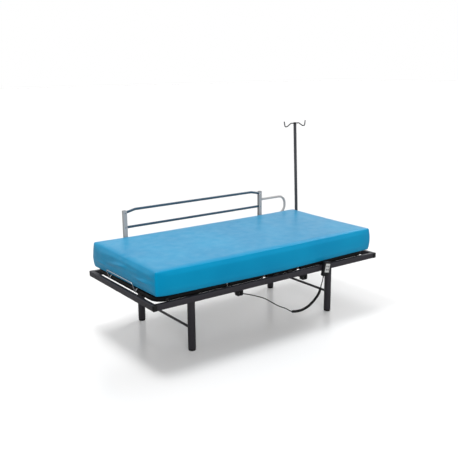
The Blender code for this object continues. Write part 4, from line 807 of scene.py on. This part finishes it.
def smoothRoute(points, step, pieces):
    # even points on a curve through the given ones
    fine = []
    for i in range(len(points) - 1):
        p0, p1, p2 = points[max(i - 1, 0)], points[i], points[i + 1]
        p3 = points[min(i + 2, len(points) - 1)]
        for k in range(pieces):
            t = k / pieces
            fine.append(0.5 * (2 * p1 + (p2 - p0) * t + (2 * p0 - 5 * p1 + 4 * p2 - p3) * t * t
                               + (3 * p1 - p0 - 3 * p2 + p3) * t * t * t))
    fine.append(points[-1])
    lengths = [0.0]
    for a, b in zip(fine, fine[1:]):
        lengths.append(lengths[-1] + (b - a).length)
    count = max(2, round(lengths[-1] / step))
    out, j = [], 0
    for k in range(count + 1):
        target = lengths[-1] * k / count
        while j < len(fine) - 2 and lengths[j + 1] < target:
            j += 1
        span = lengths[j + 1] - lengths[j]
        out.append(fine[j].lerp(fine[j + 1], min(1.0, (target - lengths[j]) / span)))
    return out


def curled(route, spec):
    total = spec["curls"] * spec["perCurl"]
    out = []
    for k in range(total + 1):
        place = k / total * (len(route) - 1)
        j = min(int(place), len(route) - 2)
        spot = route[j].lerp(route[j + 1], place - j)
        along = (route[j + 1] - route[j]).normalized()
        side = along.cross(Vector((0, 1, 0))).normalized()
        up = side.cross(along)
        grow = min(1.0, 2 * k / spec["perCurl"], 2 * (total - k) / spec["perCurl"])
        turn = math.tau * k / spec["perCurl"]
        out.append(spot + (side * math.cos(turn) + up * math.sin(turn)) * spec["helix"] * grow)
    return out


start, end = cord["gland"], handset["relief"]
straight = 2 * cord["radius"]
leadPoints = [start, start + Vector((0, -straight, 0))] + [start + Vector(p) for p in cord["lead"]]
leadPoints += [end + Vector(p) for p in cord["drop"]]
curlPoints = leadPoints[-1:] + [end + Vector(p) for p in cord["curly"]]
tailPoints = [end + Vector(p) for p in cord["tail"]] + [end + handset["reliefWay"] * straight, end]
through = leadPoints + curlPoints[1:] + tailPoints
whole = smoothRoute(through, cord["step"], cord["pieces"])
startCurl, endCurl = (min(range(len(whole)), key=lambda i: (whole[i] - spot).length)
                      for spot in (curlPoints[0], curlPoints[-1]))
cordLine = whole[:startCurl] + curled(whole[startCurl:endCurl + 1], cord) + whole[endCurl + 1:]
flex = piped("handsetCord", [(cordLine, 1.0)], cord["radius"], "black_plastic", "base", 3)
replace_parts(flex, "handset_cord")


# Mattress: one soft block, cut where it can bend

mattress = {
    "low": at(-0.972, -0.45, 0.4603), "high": at(0.928, 0.45, 0.6333), "corner": 0.012, "edge": 0.008,
    "steps": (0.019, 0.019, 0.009), "margin": 0.003, "sharp": 60,
    "held": 0.004, "pressure": 0.15, "frames": 20, "quality": 5, "cap": 0.005,
    "sag": 0.003, "crown": 0.004, "bulge": (0.008, 0.01), "farTop": (0.0095, -0.0025),
    "power": {"ends": 15, "sides": 5},  # how close to an edge its form keeps
    "ends": {"foot": 0.003, "head": 0.016, "farHead": -0.004, "footRise": (0.005, -0.007), "footCorner": 0.008},
    "droop": {"depth": 0.016, "middle": 0.05, "half": 0.6, "rise": 0.003, "from": 0.43, "over": 0.02},
    "crease": {"deep": 0.003, "reach": 0.04, "perMetre": (5, 34), "slice": 3},
    "folds": (((0.2, 0.551), (-0.08, 0.582)), ((-0.16, 0.54), (-0.39, 0.545)), ((0.4, 0.52), (0.24, 0.528))),
    "fold": {"deep": 0.006, "half": 0.01},
    "cuts": (at(-0.254, 0, 0).x, at(0.0655, 0, 0).x), "wayOff": 10.0,
    "pieces": (
        {"name": "mattressFoot", "bend": ("calf", "thigh"), "hinge": -0.415, "zone": 0.065,
         "nodes": ("mattress_calf",)},
        {"name": "mattressMiddle", "bend": ("thigh", "base"), "hinge": -0.093, "zone": 0.08,
         "nodes": ("mattress_thigh", "mattress_seat")},
        {"name": "mattressHead", "bend": ("base", "back"), "hinge": 0.224, "zone": 0.065,
         "nodes": ("mattress_back",)},
    ),
}


def everything(bm):
    return bm.verts[:] + bm.edges[:] + bm.faces[:]


def softBlock(spec):
    bm = bmesh.new()
    addBlock(bm, spec["low"], spec["high"])
    rounded(bm, running(bm, 2, 0.1), spec["corner"], 4)
    rims = [e for e in bm.edges if {abs(f.normal.z) > 0.9 for f in e.link_faces} == {True, False}]
    rounded(bm, rims, spec["edge"], 3)
    for axis, step in enumerate(spec["steps"]):
        first = spec["low"][axis] + spec["corner"] + spec["margin"]
        last = spec["high"][axis] - spec["corner"] - spec["margin"]
        count = round((last - first) / step)
        way = Vector([float(axis == other) for other in range(3)])
        for k in range(count + 1):
            place = way * (first + (last - first) * k / count)
            bmesh.ops.bisect_plane(bm, geom=everything(bm), plane_co=place, plane_no=way)
    return meshed("softBlock", bm)


def swell(made, spec):
    # the cover is blown up a little, held at the bottom, and no point moves further than the cap
    rest = [v.co.copy() for v in made.data.vertices]
    held = made.vertex_groups.new(name="held")
    held.add([i for i, co in enumerate(rest) if co.z < spec["low"].z + spec["held"]], 1.0, "REPLACE")
    cloth = made.modifiers.new("cover", "CLOTH")
    cloth.settings.quality = spec["quality"]
    cloth.settings.vertex_group_mass = "held"
    cloth.settings.use_pressure = True
    cloth.settings.uniform_pressure_force = spec["pressure"]
    cloth.settings.effector_weights.gravity = 0.0
    cloth.point_cache.frame_end = spec["frames"]
    for number in range(1, spec["frames"] + 1):
        scene.frame_set(number)
    shape = made.evaluated_get(bpy.context.evaluated_depsgraph_get()).to_mesh()
    moved = [v.co.copy() for v in shape.vertices]
    made.modifiers.clear()
    made.vertex_groups.clear()
    furthest = 0.0
    for vertex, before, after in zip(made.data.vertices, rest, moved):
        shift = after - before
        furthest = max(furthest, shift.length)
        if shift.length > spec["cap"]:
            shift = shift * (spec["cap"] / shift.length)
        vertex.co = before + shift
    scene.frame_set(1)
    print("mattress cover moved up to", round(furthest, 4), "m, kept to", spec["cap"])


def settle(made, spec):
    low, high, power, ends = spec["low"], spec["high"], spec["power"], spec["ends"]
    droop, crease, fold = spec["droop"], spec["crease"], spec["fold"]
    perWidth, perHeight = crease["perMetre"]
    centre, size = (low + high) / 2, high - low
    for vertex in made.data.vertices:
        co = vertex.co
        lift = min(1.0, max(0.0, (co.z - low.z) / size.z))
        along = 2 * (co.x - centre.x) / size.x
        across = 2 * (co.y - centre.y) / size.y
        height = 2 * (co.z - centre.z) / size.z
        full = max(0.0, 1 - height * height)
        foot, head = max(0.0, -along) ** power["ends"], max(0.0, along) ** power["ends"]
        co.x += (spec["bulge"][0] * full + ends["head"] + ends["farHead"] * across) * head
        co.x -= (spec["bulge"][0] * full + ends["foot"]) * foot
        corner = ends["footCorner"] * (1 - lift) * foot * max(0.0, across) ** power["sides"]
        co.y += spec["bulge"][1] * full * across ** power["sides"] + corner
        co.z += (spec["crown"] * (1 - across * across) - spec["sag"]) * (1 - along * along) * lift
        co.z += (spec["farTop"][0] + spec["farTop"][1] * along) * lift * (1 + across) / 2
        co.z += (ends["footRise"][0] + ends["footRise"][1] * across) * foot * (1 - lift)
        outside = min(1.0, max(0.0, (abs(co.y - centre.y) - droop["from"]) / droop["over"]))
        drop = droop["depth"] * math.exp(-((along - droop["middle"]) / droop["half"]) ** 2) - droop["rise"]
        co.z -= drop * outside * (1 - lift)  # the overhanging edge hangs past the tubes
        footEnd = max(0.0, 1 - (co.x - low.x) / crease["reach"])
        wrinkle = noise.noise(Vector((co.y * perWidth, co.z * perHeight, crease["slice"])))
        co.x += crease["deep"] * wrinkle * footEnd * math.sin(math.pi * lift)
        for (y0, z0), (y1, z1) in spec["folds"]:
            t = (co.y - centre.y - y0) / (y1 - y0)
            if 0 < t < 1:
                off = (co.z - z0 - (z1 - z0) * t) / fold["half"]
                co.x -= fold["deep"] * math.exp(-off * off) * math.sin(math.pi * t) * footEnd


block = softBlock(mattress)
swell(block, mattress)
settle(block, mattress)
rounder = block.modifiers.new("rounder", "SUBSURF")
rounder.levels = rounder.render_levels = 1
roundBlock = bpy.data.meshes.new_from_object(block.evaluated_get(bpy.context.evaluated_depsgraph_get()))
edges = (-mattress["wayOff"], *mattress["cuts"], mattress["wayOff"])
for spec, low, high in zip(mattress["pieces"], edges, edges[1:]):
    bm = bmesh.new()
    bm.from_mesh(roundBlock)
    for x, outer, inner in ((low, False, True), (high, True, False)):
        cut = bmesh.ops.bisect_plane(bm, geom=everything(bm), plane_co=(x, 0, 0), plane_no=(1, 0, 0),
                                     clear_outer=outer, clear_inner=inner)["geom_cut"]
        rim = [g for g in cut if isinstance(g, bmesh.types.BMEdge)]
        if rim:
            bmesh.ops.contextual_create(bm, geom=rim)
    made = meshed(spec["name"], bm, mattress["sharp"])
    made.data.materials.append(finishes["mattress_blue"])
    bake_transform(made)
    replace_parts(made, *spec["nodes"])
bpy.data.objects.remove(block)
print("mattress")


# Stage: floor, light and camera

white = (1.0, 1.0, 1.0, 1.0)
ground = {
    "size": 60.0,
    "bounce": {"Base Color": (0.35, 0.35, 0.35, 1.0), "Roughness": 0.6, "Specular IOR Level": 0.2},
    "seen": {"Base Color": (0.95, 0.95, 0.95, 1.0), "Roughness": 0.22, "Specular IOR Level": 0.55,
             "Emission Color": white, "Emission Strength": 0.05},  # white, with the bed's shadow on it
}
sky = {"light": {"Color": white, "Strength": 0.42}, "seen": {"Color": white, "Strength": 1.0}}


def showSeen(tree, ray, usual, seen, output):
    # rays of that kind meet the seen shader, all others the usual one
    mix = tree.nodes.new("ShaderNodeMixShader")
    tree.links.new(ray, mix.inputs["Fac"])
    tree.links.new(usual.outputs[0], mix.inputs[1])
    tree.links.new(seen.outputs[0], mix.inputs[2])
    tree.links.new(mix.outputs[0], tree.nodes[output].inputs["Surface"])


floorFinish, tree, bounce = newFinish("floor")
seen = tree.nodes.new("ShaderNodeBsdfPrincipled")
setSockets(bounce, ground["bounce"])
setSockets(seen, ground["seen"])
path = tree.nodes.new("ShaderNodeLightPath")
showSeen(tree, path.outputs["Is Camera Ray"], bounce, seen, "Material Output")
bm = bmesh.new()
bmesh.ops.create_grid(bm, x_segments=1, y_segments=1, size=ground["size"])
floor = meshed("floor", bm)
floor.data.materials.append(floorFinish)

world = bpy.data.worlds.new("studio")
scene.world = world
world.use_nodes = True
tree = world.node_tree
light, seen = tree.nodes["Background"], tree.nodes.new("ShaderNodeBackground")
setSockets(light, sky["light"])
setSockets(seen, sky["seen"])
path = tree.nodes.new("ShaderNodeLightPath")
ray = path.outputs["Is Camera Ray"]
for kind in ("Is Glossy Ray", "Is Transmission Ray"):
    either = tree.nodes.new("ShaderNodeMath")
    either.operation = "MAXIMUM"
    tree.links.new(ray, either.inputs[0])
    tree.links.new(path.outputs[kind], either.inputs[1])
    ray = either.outputs[0]
showSeen(tree, ray, light, seen, "World Output")

lamps = {
    "behind": {"from": (0.1, 0.3, 1.0), "strength": 0.62, "angle": 22, "gleam": True},
    "headSide": {"from": (1.0, 0.3, 0.42), "strength": 1.45, "angle": 30, "gleam": True},
    "front": {"from": (-0.45, -0.84, 0.25), "strength": 2.28, "angle": 40, "gleam": False},  # fill, no highlight
}
for name, spec in lamps.items():
    data = bpy.data.lights.new(name, "SUN")
    data.energy = spec["strength"]
    data.angle = math.radians(spec["angle"])
    lamp = linked(name, data)
    lamp.visible_glossy = spec["gleam"]
    lamp.rotation_mode = "QUATERNION"
    lamp.rotation_quaternion = Vector(spec["from"]).to_track_quat("Z", "Y")
softBox = {"place": (-0.78, 0.4, 4.0), "size": 1.1, "power": 49.0}
data = bpy.data.lights.new("softBox", "AREA")
data.shape = "DISK"
data.size = softBox["size"]
data.energy = softBox["power"]
linked("softBox", data).location = softBox["place"]
scene.view_settings.view_transform = "Standard"

photoView = {"place": (-2.9738, -3.9509, 1.8755), "right": (0.80962, -0.58688, -0.0087),
             "up": (0.14512, 0.1858, 0.97181), "lens": 52.73, "sensor": 36.0}
right = Vector(photoView["right"]).normalized()
back = right.cross(Vector(photoView["up"])).normalized()
turn = Matrix((right, back.cross(right), back)).transposed().to_4x4()
data = bpy.data.cameras.new("photoCamera")
data.lens = photoView["lens"]
data.sensor_width = photoView["sensor"]
camera = linked("photoCamera", data)
camera.matrix_world = Matrix.Translation(photoView["place"]) @ turn
scene.camera = camera
print("stage")
